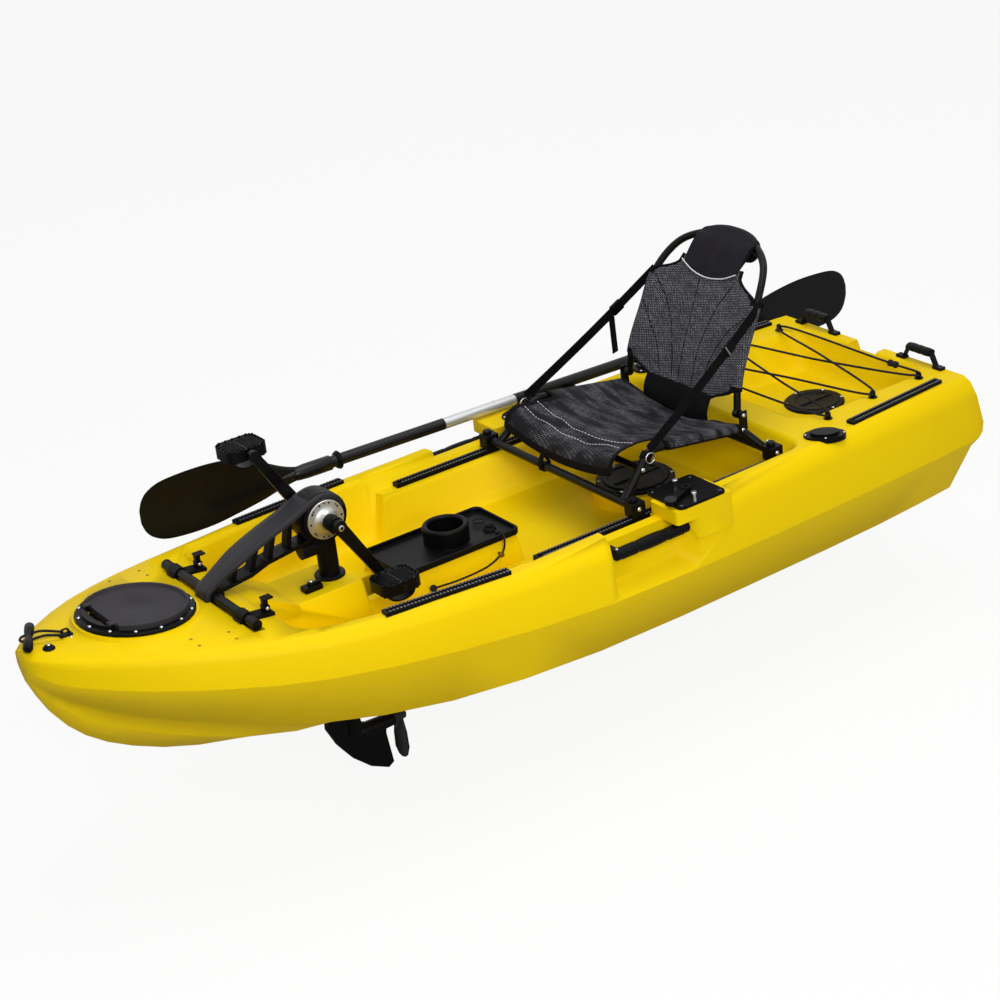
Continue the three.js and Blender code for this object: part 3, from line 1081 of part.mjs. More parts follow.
// Seat: one welded tube frame with its four rail clamps, a mesh sling, and a backrest on two hinges
{
  const s = seat;
  const mirror = (points) => points.map(([x, y, z]) => [x, -y, z]);
  const ends = [[s.barFront, s.barZ, s.barHalf], [s.foot[0], s.foot[2], s.barHalf]];
  const cross = ends.map(([x, z, half]) => rod([x, -half, z], [x, half, z], s.tube, 8));
  const runs = [[s.barFront, 258, s.barZ], s.knee, s.heel, [s.foot[0], 272, s.foot[2]]];
  const frames = [runs, mirror(runs)].map((run) => bent(run, s.tube, 8));
  const brace = rod([s.crossX, -247, s.crossZ], [s.crossX, 247, s.crossZ], s.tube - 2, 8);
  const clamps = ends.flatMap(([x, z]) =>
    sides.map(([side]) => {
      const low = cockpit.ledge + rail.height + gap;
      const body = block(x - s.clampLong / 2, x + s.clampLong / 2, rail.y - s.clampWide / 2, rail.y + s.clampWide / 2, low, low + s.clampTall);
      const knob = rod([x + 4, rail.y, low + s.clampTall - 1], [x + 4, rail.y, low + s.clampTall + s.knob], s.knob, 8);
      const key = block(x - 6, x + 6, rail.y - rail.slot / 2 + running, rail.y + rail.slot / 2 - running, low - rail.slotDeep / 2, low + 1);
      return toSide(fuse(body, knob, key), side);
    }),
  );
  const lugs = sides.map(([side]) => {
    const plateLug = sideways(rounded([[back.x - 13, s.heel[2] - 4, 0], [back.x + 13, s.heel[2] - 4, 0], [back.x + 11, back.z + 11, 8], [back.x - 11, back.z + 11, 8]]), s.heel[1] + 4, s.heel[1] + 10);
    const pin = rod([back.x, 203, back.z], [back.x, s.heel[1] + 5, back.z], back.pin, 12);
    return toSide(plateLug.add(pin), side);
  });
  part("seat_frame", fuse(...cross, ...frames, brace, ...clamps, ...lugs), painted);
}


const sag = (y) => -18 + 26 * (y / 210) ** 2; // how far the mesh hangs below the side rails' middle
{
  const s = seat;
  const wrap = s.tube + 1.3 + s.cloth / 2;
  const rings = [-306, -385, -465, -545].map((x) => {
    const t = (x - s.knee[0]) / (s.heel[0] - s.knee[0]);
    const ty = THREE.MathUtils.lerp(s.knee[1], s.heel[1], t);
    const tz = THREE.MathUtils.lerp(s.knee[2], s.heel[2], t);
    const arc = [-25, 5, 35, 65, 95].map((angle) => {
      const turn = THREE.MathUtils.degToRad(angle);
      return [ty + wrap * Math.cos(turn), tz + wrap * Math.sin(turn)];
    });
    const sheet = [0.86, 0.6, 0.3].map((share) => [ty * share, tz + sag(ty * share) + 4 * (share > 0.8)]);
    const port = [...arc, ...sheet];
    const line = [...port, [0, tz + sag(0)], ...port.toReversed().map(([y, z]) => [-y, z])];
    return band(line, s.cloth).map((p) => new THREE.Vector3(x, p.x, p.y));
  });
  const nose = [[-320, 0], [-214, 0], [-198, -3], [-188, -11], [s.nose, -26]];
  const front = [-216, -170, -110, -50, 0, 50, 110, 170, 216].map((y) =>
    band(nose, s.cloth + 2).map((p) => new THREE.Vector3(p.x, y, p.y + s.knee[2] + sag(y))),
  );
  part("seat_sling", fuse(loft(rings, "strip"), loft(front, "strip")), mesh);
}

// Backrest: an arched tube, a mesh panel in front of it, a padded cap over its top and a strap each side
const backTop = [-772, 0, 770];
const backPath = [
  ...back.spine.map(([x, z], i) => [x, back.halves[i], z]),
  backTop,
  ...back.spine.map(([x, z], i) => [x, -back.halves[i], z]).toReversed(),
];
const backNormal = [Math.cos(THREE.MathUtils.degToRad(back.lean)), Math.sin(THREE.MathUtils.degToRad(back.lean))];
function capForm(grow) {
  const c = cap;
  const [nx, nz] = backNormal;
  const rings = [-1, -0.85, -0.4, 0, 0.4, 0.85, 1].map((share) => {
    const y = share * (c.half + grow);
    const drop = 10 * share * share;
    const inset = Math.abs(share) > 0.9 ? 5 : 0;
    const corner = (n, u) => new THREE.Vector2(backTop[0] + n * nx - u * nz, backTop[2] - drop + n * nz + u * nx);
    const outline = [corner(c.front - inset + grow, -c.deep - grow), corner(c.front - inset + grow, 6), corner(c.front - 10, 19 - inset + grow), corner(-c.rear + 8, 19 - inset + grow), corner(-c.rear + inset - grow, 6), corner(-c.rear + inset - grow, -c.deep - grow)];
    return outline.map((p) => new THREE.Vector3(p.x, y, p.y));
  });
  return loft(rings);
}
{
  const b = back;
  const eyes = sides.map(([side]) =>
    rod([b.x, (b.halves[0] - 7) * side, b.z], [b.x, (b.halves[0] + 7) * side, b.z], b.eye, 12),
  );
  const bore = rod([b.x, -hull.beam, b.z], [b.x, hull.beam, b.z], b.pin + running, 12);
  part("back_frame", fuse(tube(backPath, b.tube, 8, 2), ...eyes).subtract(bore), painted);

  const away = b.tube + 1.5 + b.cloth / 2;
  const line = [...b.spine, [backTop[0], backTop[2]]];
  const dishes = [0.3, 1, 1, 0.7, 0.2, 0];
  const dishShares = [[-1, 0], [-0.88, 0], [-0.5, 0.8], [0, 1], [0.5, 0.8], [0.88, 0], [1, 0]];
  const rings = b.spine.map(([x, z], i) => {
    const before = line[Math.max(i - 1, 0)];
    const up = new THREE.Vector2(line[i + 1][0] - before[0], line[i + 1][1] - before[1]).normalize();
    const lift = i === 0 ? 30 : 0;
    const halfWide = b.halves[i] + (i === 0 ? -8 : 6);
    const across = dishShares.map(([share, deep]) => [share * halfWide, away - b.dish * dishes[i] * deep]);
    return band(across, b.cloth).map((p) => new THREE.Vector3(x + p.y * up.y + lift * up.x, p.x, z - p.y * up.x + lift * up.y));
  });
  part("back_sling", loft(rings, "strip").subtract(capForm(gap)), mesh);
  part("back_cap", capForm(0).subtract(tube(backPath, b.tube + gap * 2, 8, 2)), black);
}
for (const [side, word] of sides) {
  const top = new THREE.Vector3(...strap.top);
  const foot = new THREE.Vector3(...strap.foot);
  const along = foot.clone().sub(top);
  const pitch = THREE.MathUtils.radToDeg(Math.atan2(-along.z, along.x));
  const yaw = THREE.MathUtils.radToDeg(Math.atan2(along.y, Math.hypot(along.x, along.z)));
  const made = block(0, along.length(), -strap.thick / 2, strap.thick / 2, -strap.wide / 2, strap.wide / 2);
  const buckle = block(along.length() * 0.2, along.length() * 0.2 + 46, -5, 5, -strap.wide / 2 - 3, strap.wide / 2 + 3);
  const legTop = new THREE.Vector3(...seat.knee);
  const legFoot = new THREE.Vector3(seat.barFront, 258, seat.barZ);
  const legWay = legFoot.clone().sub(legTop).normalize();
  const middle = legTop.clone().addScaledVector(legWay, (strap.foot[0] - legTop.x) / legWay.x);
  const ends = (reach) => [-1, 1].map((way) => middle.clone().addScaledVector(legWay, way * reach).toArray());
  const loop = rod(...ends(strap.loopHalf), strap.loop, 12).subtract(rod(...ends(overrun), seat.tube + gap * 2, 12));
  const band = moved(turned(turned(fuse(made, buckle), 0, 0, yaw), 0, pitch, 0), ...strap.top);
  part(`back_strap_${word}`, toSide(band.add(loop), side), webbing);
}

// Paddle on the starboard side: two black halves with upright blades, a bright middle tube and a clip on the gunwale
{
  const p = paddle;
  const onPaddle = (made) => moved(turned(made, 0, -THREE.MathUtils.radToDeg(Math.atan(p.slope)), 0), p.x, -p.y, p.z);
  const blade = (root, tip, rise) => {
    const long = tip - root;
    const shares = [[0, 0.16, 1.6], [0.14, 0.34, 1.3], [0.34, 0.76, 1], [0.6, 1, 0.8], [0.84, 0.95, 0.6], [0.95, 0.66, 0.5], [1, 0.3, 0.4]];
    return loft(
      shares.map(([along, wide, deep]) => {
        const middle = rise * THREE.MathUtils.smoothstep(along, 0, 0.5);
        const w = wide * p.bladeHalf;
        const t = (p.bladeThick / 2) * deep;
        return [[-w, 0.6], [-w * 0.15, t], [w * 0.15, t], [w, 0.6], [w, -0.6], [w * 0.15, -t], [-w * 0.15, -t], [-w, -0.6]].map(([up, out]) =>
          new THREE.Vector3(root + long * along, out, middle + up),
        );
      }),
    );
  };
  const at = (x) => x - p.x;
  const rootFront = at(p.frontTip - p.bladeLong);
  const rootRear = at(p.rearTip + p.bladeLong);
  const shaft = (from, to) => rod([from, 0, 0], [to, 0, 0], p.radius + 0.5, 16);
  const frontShaft = rod([rootFront, 0, 0], [rootFront + 90, 0, 0], p.radius + 0.5, 16, 5);
  const rearShaft = rod([rootRear, 0, 0], [rootRear - 90, 0, 0], p.radius + 0.5, 16, 5);
  const drip = lathe([[0, 0], [p.ring, 0], [p.ring - 4, 8], [0, 8]], 20);
  const ring = moved(turned(drip, 0, 90, 0), at(p.ringX), 0, 0);
  part("paddle_front", onPaddle(fuse(shaft(at(p.silverFront) + gap, rootFront + 2), frontShaft, blade(rootFront, at(p.frontTip), p.frontRise), ring)), black);
  part("paddle_middle", onPaddle(rod([at(p.silverRear), 0, 0], [at(p.silverFront), 0, 0], p.radius, 16)), steel);
  part("paddle_rear", onPaddle(fuse(shaft(at(p.silverRear) - gap, rootRear - 2), rearShaft, blade(rootRear, at(p.rearTip), p.rearRise))), black);
  const c = clip;
  const axis = p.z + (c.x - p.x) * p.slope;
  const hold = p.radius + 0.5 + running;
  const cradle = block(c.x - c.wide / 2, c.x + c.wide / 2, p.y - hold - c.wall, p.y + hold + c.wall, axis - hold - c.wall, axis + 3);
  const tongue = block(c.x - c.wide / 2, c.x + c.wide / 2, c.footIn, p.y - hold, deckZ(c.x) - overrun, deckZ(c.x) + 6);
  const room = rod([c.x - overrun, p.y, axis], [c.x + overrun, p.y, axis], hold, 16)
    .add(block(c.x - overrun, c.x + overrun, p.y - hold, p.y + hold, axis, axis + overrun));
  part("paddle_clip", toSide(seated(tongue).add(cradle).subtract(room), STARBOARD), black);
}

export default model;
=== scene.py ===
# A short sit-on-top pedal kayak: a yellow rotomoulded hull with a flip-up propeller drive, a framed
# mesh seat, deck tracks, hatches, and a paddle clipped along the starboard side.
# Metres, +X towards the bow, +Y to port, +Z up. Each section is one piece or one group of like pieces.
import json
import math

import bmesh
import bpy
from mathutils import Matrix, Vector, noise
from mathutils.bvhtree import BVHTree


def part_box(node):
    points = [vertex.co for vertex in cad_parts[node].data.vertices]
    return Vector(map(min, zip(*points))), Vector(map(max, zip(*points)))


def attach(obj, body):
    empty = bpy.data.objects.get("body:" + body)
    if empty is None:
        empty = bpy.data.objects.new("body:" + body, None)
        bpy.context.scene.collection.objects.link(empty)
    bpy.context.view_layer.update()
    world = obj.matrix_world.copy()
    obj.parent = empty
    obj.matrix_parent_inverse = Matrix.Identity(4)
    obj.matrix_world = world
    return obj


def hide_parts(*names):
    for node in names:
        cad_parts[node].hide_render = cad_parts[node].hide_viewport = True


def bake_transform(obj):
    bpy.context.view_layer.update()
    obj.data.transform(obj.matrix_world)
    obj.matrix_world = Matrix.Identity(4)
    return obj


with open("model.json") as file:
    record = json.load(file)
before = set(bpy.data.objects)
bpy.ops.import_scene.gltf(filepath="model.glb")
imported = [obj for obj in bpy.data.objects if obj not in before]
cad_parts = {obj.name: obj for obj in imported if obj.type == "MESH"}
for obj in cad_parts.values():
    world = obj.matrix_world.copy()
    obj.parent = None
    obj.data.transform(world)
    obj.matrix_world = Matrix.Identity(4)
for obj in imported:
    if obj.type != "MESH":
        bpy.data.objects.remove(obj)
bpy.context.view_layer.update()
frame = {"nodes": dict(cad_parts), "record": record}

# Camera
# It stands off the port bow and looks down on the deck. Its place, turn and lens follow the hull's
# own lines in the photograph.
eye = Vector((2.68, 4.2336, 2.5962))
right = Vector((-0.81375, 0.57137, -0.10654))
down = Vector((0.31909, 0.28597, -0.90355))
ahead = Vector((-0.48579, -0.76926, -0.41503))
camera = bpy.data.objects.new("camera", bpy.data.cameras.new("camera"))
camera.data.sensor_width = 36.0
camera.data.lens = 82.416
camera.matrix_world = Matrix.Translation(eye) @ Matrix((right, -down, -ahead)).transposed().to_4x4()
bpy.context.scene.collection.objects.link(camera)
bpy.context.scene.camera = camera

# Cords
# Black covered cord: the loop of the bow toggle, the tray's leash with its bead, and the shock cord
# laced over the tank well through six eyes to its own cord lock.
MM = 0.001
UP = Vector((0, 0, 1))


def mm(x, y, z):
    """A point or a size given in millimetres, as a vector in metres."""
    return Vector((x, y, z)) * MM


def linear(code):
    """A colour written as sRGB hex, as the linear values a shader takes."""
    parts = [int(code[i : i + 2], 16) / 255 for i in (1, 3, 5)]
    return [c / 12.92 if c <= 0.04045 else ((c + 0.055) / 1.055) ** 2.4 for c in parts] + [1.0]


def add(tree, kind, inputs=None, **settings):
    """Adds one shader node. An input is a value, or another node's output to link from."""
    node = tree.nodes.new(kind)
    for name, value in settings.items():
        setattr(node, name, value)
    for name, value in (inputs or {}).items():
        if isinstance(value, bpy.types.NodeSocket):
            tree.links.new(value, node.inputs[name])
        else:
            node.inputs[name].default_value = value
    return node


def finish(name, dark, light, rough, grain, depth, patch=60, metallic=0.0, gloss=0.5):
    """A finish with a fine grain and faint patches of colour. Grain, its depth and patch are in millimetres."""
    material = bpy.data.materials.new(name)
    material.use_nodes = True
    tree = material.node_tree
    shader = tree.nodes["Principled BSDF"]
    shader.inputs["Roughness"].default_value = rough
    shader.inputs["Metallic"].default_value = metallic
    shader.inputs["Specular IOR Level"].default_value = gloss
    place = add(tree, "ShaderNodeTexCoord").outputs["Object"]
    patches = add(tree, "ShaderNodeTexNoise", {"Vector": place, "Scale": 1000 / patch, "Detail": 3.0})
    tint = add(
        tree,
        "ShaderNodeMixRGB",
        {"Fac": patches.outputs["Fac"], "Color1": linear(dark), "Color2": linear(light)},
    )
    tree.links.new(tint.outputs["Color"], shader.inputs["Base Color"])
    pits = add(tree, "ShaderNodeTexNoise", {"Vector": place, "Scale": 1000 / grain, "Detail": 2.0})
    relief = add(tree, "ShaderNodeBump", {"Height": pits.outputs["Fac"], "Distance": depth * MM, "Strength": 1.0})
    tree.links.new(relief.outputs["Normal"], shader.inputs["Normal"])
    return material


# Polyester cover over rubber or polypropylene, braided: near black, dull, with a 2 mm pick.
braided_cover = finish("braided_polyester_cover", "#0C0C0D", "#222225", 0.85, 2, 0.6, patch=4, gloss=0.25)


def curved(points, per_run=8):
    """Points in millimetres joined by one smooth line, eased by how far apart they stand, in metres."""
    line = [mm(*p) for p in points]
    line = [line[0] * 2 - line[1], *line, line[-1] * 2 - line[-2]]
    smooth = []
    for a, b, c, d in zip(line, line[1:], line[2:], line[3:]):
        before, here, after = ((q - p).length ** 0.5 for p, q in ((a, b), (b, c), (c, d)))
        leave = ((b - a) / before - (c - a) / (before + here) + (c - b) / here) * here
        reach = ((c - b) / here - (d - b) / (here + after) + (d - c) / after) * here
        for step in range(per_run):
            t = step / per_run
            ends = b * (2 * t**3 - 3 * t**2 + 1) + c * (3 * t**2 - 2 * t**3)
            smooth.append(ends + leave * (t**3 - 2 * t**2 + t) + reach * (t**3 - t**2))
    smooth.append(line[-2])
    return smooth


def strung(name, lines, radius, material, body, roundness=3):
    """Round cord, tube or thread along one line or more, as one object of open curves."""
    data = bpy.data.curves.new(name, "CURVE")
    data.dimensions = "3D"
    data.bevel_depth = radius
    data.bevel_resolution = roundness
    data.use_fill_caps = True
    for line in lines:
        spline = data.splines.new("POLY")
        spline.points.add(len(line) - 1)
        for point, at in zip(spline.points, line):
            point.co = (*at, 1.0)
    data.materials.append(material)
    made = bpy.data.objects.new(name, data)
    bpy.context.scene.collection.objects.link(made)
    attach(made, body)
    return made


def stands(node):
    """Hides a CAD node whose place a new piece takes."""
    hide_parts(node)


CORD, LEASH = 6 * MM, 5 * MM
TOGGLE_POINTS = [
    (1146, 4, 399.6), (1152, 10, 400.6), (1188, 2, 410), (1208, -4, 409), (1228, -4, 409),
    (1238, -18, 409), (1228, -32, 409), (1208, -32, 409), (1188, -26, 410), (1152, -10, 400.6),
    (1146, -4, 399.6),
]
toggle_run = curved(TOGGLE_POINTS)
toggle_cord = strung("toggle_loop", [toggle_run], CORD / 2, braided_cover, "hull")
stands("toggle_cord")

LEASH_POINTS = [
    (62, 50, 265.1), (64, 66, 267.3), (68, 88, 278.3), (70, 100, 266.3), (76, 101, 238.3),
    (88, 100, 226.3), (122, 100, 212.3), (202, 102, 208.3), (282, 104, 214.3),
]
leash_run = curved(LEASH_POINTS)
tray_leash = strung("tray_leash", [leash_run], LEASH / 2, braided_cover, "hull")
stands("tray_cord")


def piece(name, form, material, body, smooth=40):
    """Turns a bmesh into a piece on a body, or on none. Edges sharper than smooth, in degrees, stay crisp."""
    mesh = bpy.data.meshes.new(name)
    form.to_mesh(mesh)
    form.free()
    mesh.polygons.foreach_set("use_smooth", [True] * len(mesh.polygons))
    mesh.set_sharp_from_angle(angle=math.radians(smooth))
    mesh.materials.append(material)
    made = bpy.data.objects.new(name, mesh)
    bpy.context.scene.collection.objects.link(made)
    if body:
        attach(made, body)
    return made


form = bmesh.new()
bmesh.ops.create_icosphere(form, subdivisions=3, radius=9 * MM, matrix=Matrix.Translation(leash_run[-1]))
bead = piece("tray_leash_bead", form, braided_cover, "hull")

LACING_POINTS = [
    (-1131, 178, 351.7), (-1130, 263.4, 351.7), (-1121, 266.4, 351.7), (-1112, 263.4, 351.7),
    (-1040.5, 0, 345.7), (-969, -265.4, 351.9), (-960, -268.4, 351.9), (-951, -265.4, 351.9),
    (-878.5, 0, 345.9), (-806, 278.4, 350.6), (-797, 281.4, 350.6), (-788, 278.4, 350.6),
    (-788, -278.4, 350.6), (-797, -281.4, 350.6), (-806, -278.4, 350.6), (-878.5, 0, 356.6),
    (-951, 265.4, 351.9), (-960, 268.4, 351.9), (-969, 265.4, 351.9), (-1040.5, 0, 357.9),
    (-1112, -263.4, 351.7), (-1121, -266.4, 351.7), (-1130, -263.4, 351.7), (-1131, 150, 351.7),
]
lacing_run = curved(LACING_POINTS, per_run=10)
tank_lacing = strung("tank_lacing", [lacing_run], CORD / 2, braided_cover, "hull")
stands("tank_bungee")


def spun(form, profile, place, axis, steps=24):
    """Adds a turned shape: a line of (radius, height) in millimetres spun about an axis through a place in metres."""
    old = set(form.verts)
    verts = [form.verts.new((radius * MM, 0, height * MM)) for radius, height in profile]
    edges = [form.edges.new(pair) for pair in zip(verts, verts[1:])]
    bmesh.ops.spin(
        form,
        geom=verts + edges,
        cent=(0, 0, 0),
        axis=(0, 0, 1),
        angle=math.tau,
        steps=steps,
        use_merge=True,
    )
    new = [v for v in form.verts if v not in old]
    stand = UP.rotation_difference(Vector(axis)).to_matrix().to_4x4()
    bmesh.ops.transform(form, matrix=Matrix.Translation(place) @ stand, verts=new)
    bmesh.ops.remove_doubles(form, verts=new, dist=1e-6)


def turned(name, profile, origin, axis, material, body, steps=40, smooth=40):
    """A turned piece about an axis through origin, in millimetres."""
    form = bmesh.new()
    spun(form, profile, mm(*origin), axis, steps)
    bmesh.ops.recalc_face_normals(form, faces=form.faces)
    made = piece(name, form, material, body, smooth)
    return made


LOCK = [(3.2, 0), (8, 0), (9, 1.5), (9, 8), (7.6, 9.5), (7.6, 18.5), (9, 20), (9, 26.5), (8, 28), (3.2, 28), (3.2, 0)]
cord_lock = turned("tank_cord_lock", LOCK, (-1131, 150, 351.7), (0, 1, 0), braided_cover, "hull")

# Floor and light
# A white floor below the fin, a white room, a large soft lamp overhead and a smaller one off the port
# bow. To the camera the floor is nearly white paper, and it keeps a faint shadow of the kayak.
FLOOR = -0.262
# Matt white paper: no gloss, lit a little from within where the camera looks at it.
paper = bpy.data.materials.new("matt_white_paper")
paper.use_nodes = True
tree = paper.node_tree
matt = tree.nodes["Principled BSDF"]
matt.inputs["Base Color"].default_value = (0.5, 0.5, 0.5, 1)
matt.inputs["Roughness"].default_value = 0.9
matt.inputs["Specular IOR Level"].default_value = 0.0
lit = add(tree, "ShaderNodeBsdfDiffuse", {"Color": (0.9, 0.9, 0.9, 1)})
glow = add(tree, "ShaderNodeEmission", {"Color": (1, 1, 1, 1), "Strength": 1.0})
white = add(tree, "ShaderNodeMixShader", {"Fac": 0.9, 1: lit.outputs[0], 2: glow.outputs[0]})
looked_at = add(tree, "ShaderNodeLightPath").outputs["Is Camera Ray"]
either = add(tree, "ShaderNodeMixShader", {"Fac": looked_at, 1: matt.outputs[0], 2: white.outputs[0]})
tree.links.new(either.outputs[0], tree.nodes["Material Output"].inputs["Surface"])
floor_form = bmesh.new()
bmesh.ops.create_grid(floor_form, x_segments=1, y_segments=1, size=40)
bmesh.ops.translate(floor_form, vec=(0, 0, FLOOR), verts=floor_form.verts)
piece("floor", floor_form, paper, None)

room = bpy.data.worlds.new("white_room")
room.use_nodes = True
bpy.context.scene.world = room
tree = room.node_tree
sky = tree.nodes["Background"]
sky.inputs["Color"].default_value = (1, 1, 1, 1)
sky.inputs["Strength"].default_value = 0.4
seen = add(tree, "ShaderNodeBackground", {"Color": (1, 1, 1, 1), "Strength": 1.0})
path = add(tree, "ShaderNodeLightPath").outputs
bright = add(tree, "ShaderNodeMath", {0: path["Is Camera Ray"], 1: path["Is Glossy Ray"]}, operation="MAXIMUM")
both = add(tree, "ShaderNodeMixShader", {"Fac": bright.outputs[0], 1: sky.outputs[0], 2: seen.outputs[0]})
tree.links.new(both.outputs[0], tree.nodes["World Output"].inputs["Surface"])

for name, at, aim, wide, watts in (
    ("lamp_overhead", (-0.4, 0.4, 4.2), (0.0, 0.0, 0.2), 3.4, 73),
    ("lamp_off_bow", (1.6, 4.2, 2.7), (0.0, 0.0, 0.3), 2.0, 118),
):
    lamp = bpy.data.objects.new(name, bpy.data.lights.new(name, "AREA"))
    lamp.data.shape = "DISK"
    lamp.data.size = wide
    lamp.data.energy = watts
    turn = (Vector(aim) - Vector(at)).to_track_quat("-Z", "Y")
    lamp.matrix_world = Matrix.Translation(at) @ turn.to_matrix().to_4x4()
    bpy.context.scene.collection.objects.link(lamp)
bpy.context.scene.view_settings.view_transform = "Standard"

# Hull
# One rotomoulded polyethylene shell, 5 mm thick: the deck with its wells, the pockets for the side
# handles and the keel come out of a single mould. Its knuckle and chine are crisp, its wells rounded.
# Rotomoulded polyethylene: dyed right through, waxy, with little gloss and the mould's slow ripple.
rotomoulded_polyethylene = finish(
    "rotomoulded_polyethylene", "#F0CA00", "#F6D400", 0.5, 16, 0.6, patch=260, gloss=0.09
)


def whole(node):
    """The welded shape of a CAD node, its flat faces made whole again and none left folded back on its neighbour."""
    form = bmesh.new()
    form.from_mesh(frame["nodes"][node].data)
    bmesh.ops.remove_doubles(form, verts=form.verts, dist=0.02 * MM)
    bmesh.ops.dissolve_degenerate(form, dist=0.05 * MM, edges=form.edges)
    for _ in range(3):
        folds = [e for e in form.edges if len(e.link_faces) == 2 and e.calc_face_angle(0) > math.radians(179)]
        bmesh.ops.dissolve_edges(form, edges=folds)
    bmesh.ops.dissolve_limit(form, angle_limit=math.radians(0.8), verts=form.verts, edges=form.edges)
    return form


hull_form = whole("hull")
# Where a footwell's rounded foot meets the seat well's, each skin comes to one corner.
for x, y, z in ((208.9, 285, 180), (208.9, -285, 180), (205.8, 288.2, 175), (205.8, -288.2, 175)):
    corner = mm(x, y, z)
    near = [v for v in hull_form.verts if (v.co - corner).length < 3.2 * MM]
    bmesh.ops.pointmerge(hull_form, verts=near, merge_co=corner)
hull = piece("hull_shell", hull_form, rotomoulded_polyethylene, "hull", smooth=38)
# The knuckle and the chine turn less than that and are crisp too. Level skin is flat.
skin = bmesh.new()
skin.from_mesh(hull.data)
for edge in skin.edges:
    middle = (edge.verts[0].co + edge.verts[1].co) / 2
    if middle.z > 0.01 and len(edge.link_faces) == 2 and edge.calc_face_angle(0) > math.radians(9):
        outward = all(f.normal.y * middle.y > 0.3 * abs(middle.y) for f in edge.link_faces)
        if outward and min(f.normal.z for f in edge.link_faces) < -0.12:
            edge.smooth = False
for face in skin.faces:
    if abs(face.normal.z) > 0.999:
        face.smooth = False
skin.to_mesh(hull.data)
skin.free()
stands("hull")

# Foredeck inserts
# Threaded brass inserts moulded into the foredeck, four a side, flush with the skin.
# Brass, turned, and dulled by handling.
dull_brass = finish("dull_brass", "#6E5A2A", "#8C7436", 0.45, 3, 0.05, metallic=1.0)
deck_tree = BVHTree.FromObject(hull, bpy.context.evaluated_depsgraph_get())


def on_deck(x, y):
    """The point of the hull under this place, and which way its skin faces there; millimetres in, metres out."""
    place, normal, _, _ = deck_tree.ray_cast(Vector((x * MM, y * MM, 1)), -UP)
    return place, normal


# A pan head: its rim, crown and the recess for the driver.
PAN_HEAD = [(0, 1.0), (1.5, 1.0), (1.6, 2.3), (3.0, 2.0), (4.1, 1.1), (4.4, 0), (4.4, -1.0), (0, -1.0)]


def heads(name, places, material, body, slot, size=1.0, profile=PAN_HEAD, steps=10):
    """A set of like heads as one piece: each place is a point in metres and the way its head faces."""
    form = bmesh.new()
    for place, axis in places:
        spun(form, [(r * size, h * size) for r, h in profile], place, axis, steps)
    bmesh.ops.recalc_face_normals(form, faces=form.faces)
    piece(name, form, material, body, smooth=50)


INSERT = [(0, -1.2), (1.6, -1.2), (1.8, 0.8), (3.0, 0.8), (3.4, 0), (3.4, -2), (0, -2)]
inserts = [on_deck(x, y * side) for side in (1, -1) for x, y in ((937, 181), (936, 217), (853, 193), (855, 232))]
heads("foredeck_inserts", inserts, dull_brass, "hull", "hull_shell", size=1.1, profile=INSERT)

# Hatches
# Three screwed-down frames and their lids. The bow lid is hinged at its forward edge, and the two
# round ones screw into their frames by the grip moulded across them.
# Nylon and ABS as moulded: near black and dark grey, a fine spark-eroded grain, a dull satin gloss.
moulded_nylon = finish("moulded_nylon", "#040405", "#09090B", 0.42, 2.5, 0.15, gloss=0.1)
grey_moulding = finish("moulded_grey_abs", "#2A282C", "#343136", 0.6, 2.5, 0.25, gloss=0.14)
# Stainless steel, drawn and polished: a bright grey with a soft sheen.
stainless_steel = finish("polished_stainless_steel", "#B5B7BA", "#C8CACD", 0.25, 3, 0.02, metallic=1.0)


def body_of(node):
    """The body that carries a CAD node."""
    return next(b for b, nodes in frame["record"]["behaviour"]["bodies"].items() if node in nodes)


def ease_edges(made, width, smooth=40, segments=2):
    """Rounds the sharp edges of a piece by this many millimetres, as the mould or the grinder leaves them."""
    bevel = made.modifiers.new("eased", "BEVEL")
    bevel.width = width * MM
    bevel.segments = segments
    bevel.limit_method = "ANGLE"
    bevel.angle_limit = math.radians(smooth)
    bevel.use_clamp_overlap = True
    bevel.harden_normals = True


def dressed(node, material, ease=0.8, smooth=40):
    """A CAD piece in its finish, with its edges eased."""
    made = piece(f"{node}_finished", whole(node), material, body_of(node), smooth)
    if ease:
        ease_edges(made, ease, smooth)
    stands(node)
    return made


def angles(count, start=0):
    """Evenly spaced angles once round, the first one start steps on."""
    return [(i + start) / count * math.tau for i in range(count)]


def screws(name, places, body="hull", **shape):
    """Heads of stainless screws, bolts or posts."""
    heads(name, places, stainless_steel, body, "bright_steel", **shape)


dressed("bow_hatch_frame", moulded_nylon)
dressed("bow_hatch_lid", grey_moulding, ease=1.5)
HATCH_MIDDLE, HATCH_TURN = mm(976, 0, 383), Matrix.Rotation(math.radians(-5.8), 4, "Y")
bow_screws = []
for a in angles(14, 0.5):
    spot = HATCH_TURN @ mm(125 * math.cos(a), 125 * math.sin(a), 10.2)
    bow_screws.append((HATCH_MIDDLE + spot, HATCH_TURN @ UP))
screws("bow_hatch_screws", bow_screws)
for name, x, z, reach in (("seat_hatch", -400, 234.2, 92), ("stern_hatch", -1000, 247.2, 73)):
    dressed(f"{name}_frame", moulded_nylon)
    dressed(f"{name}_lid", moulded_nylon, ease=1.0)
    ring = [(mm(x + reach * math.cos(a), reach * math.sin(a), z), UP) for a in angles(6, 0.5)]
    screws(f"{name}_screws", ring)

# Bow toggle
# A waisted nylon grip on a loop of cord, and the moulded eye that the loop is tied to. The eye and a
# nylon button beside it are screwed to the foredeck.
toggle = dressed("bow_toggle", moulded_nylon, ease=1.2)
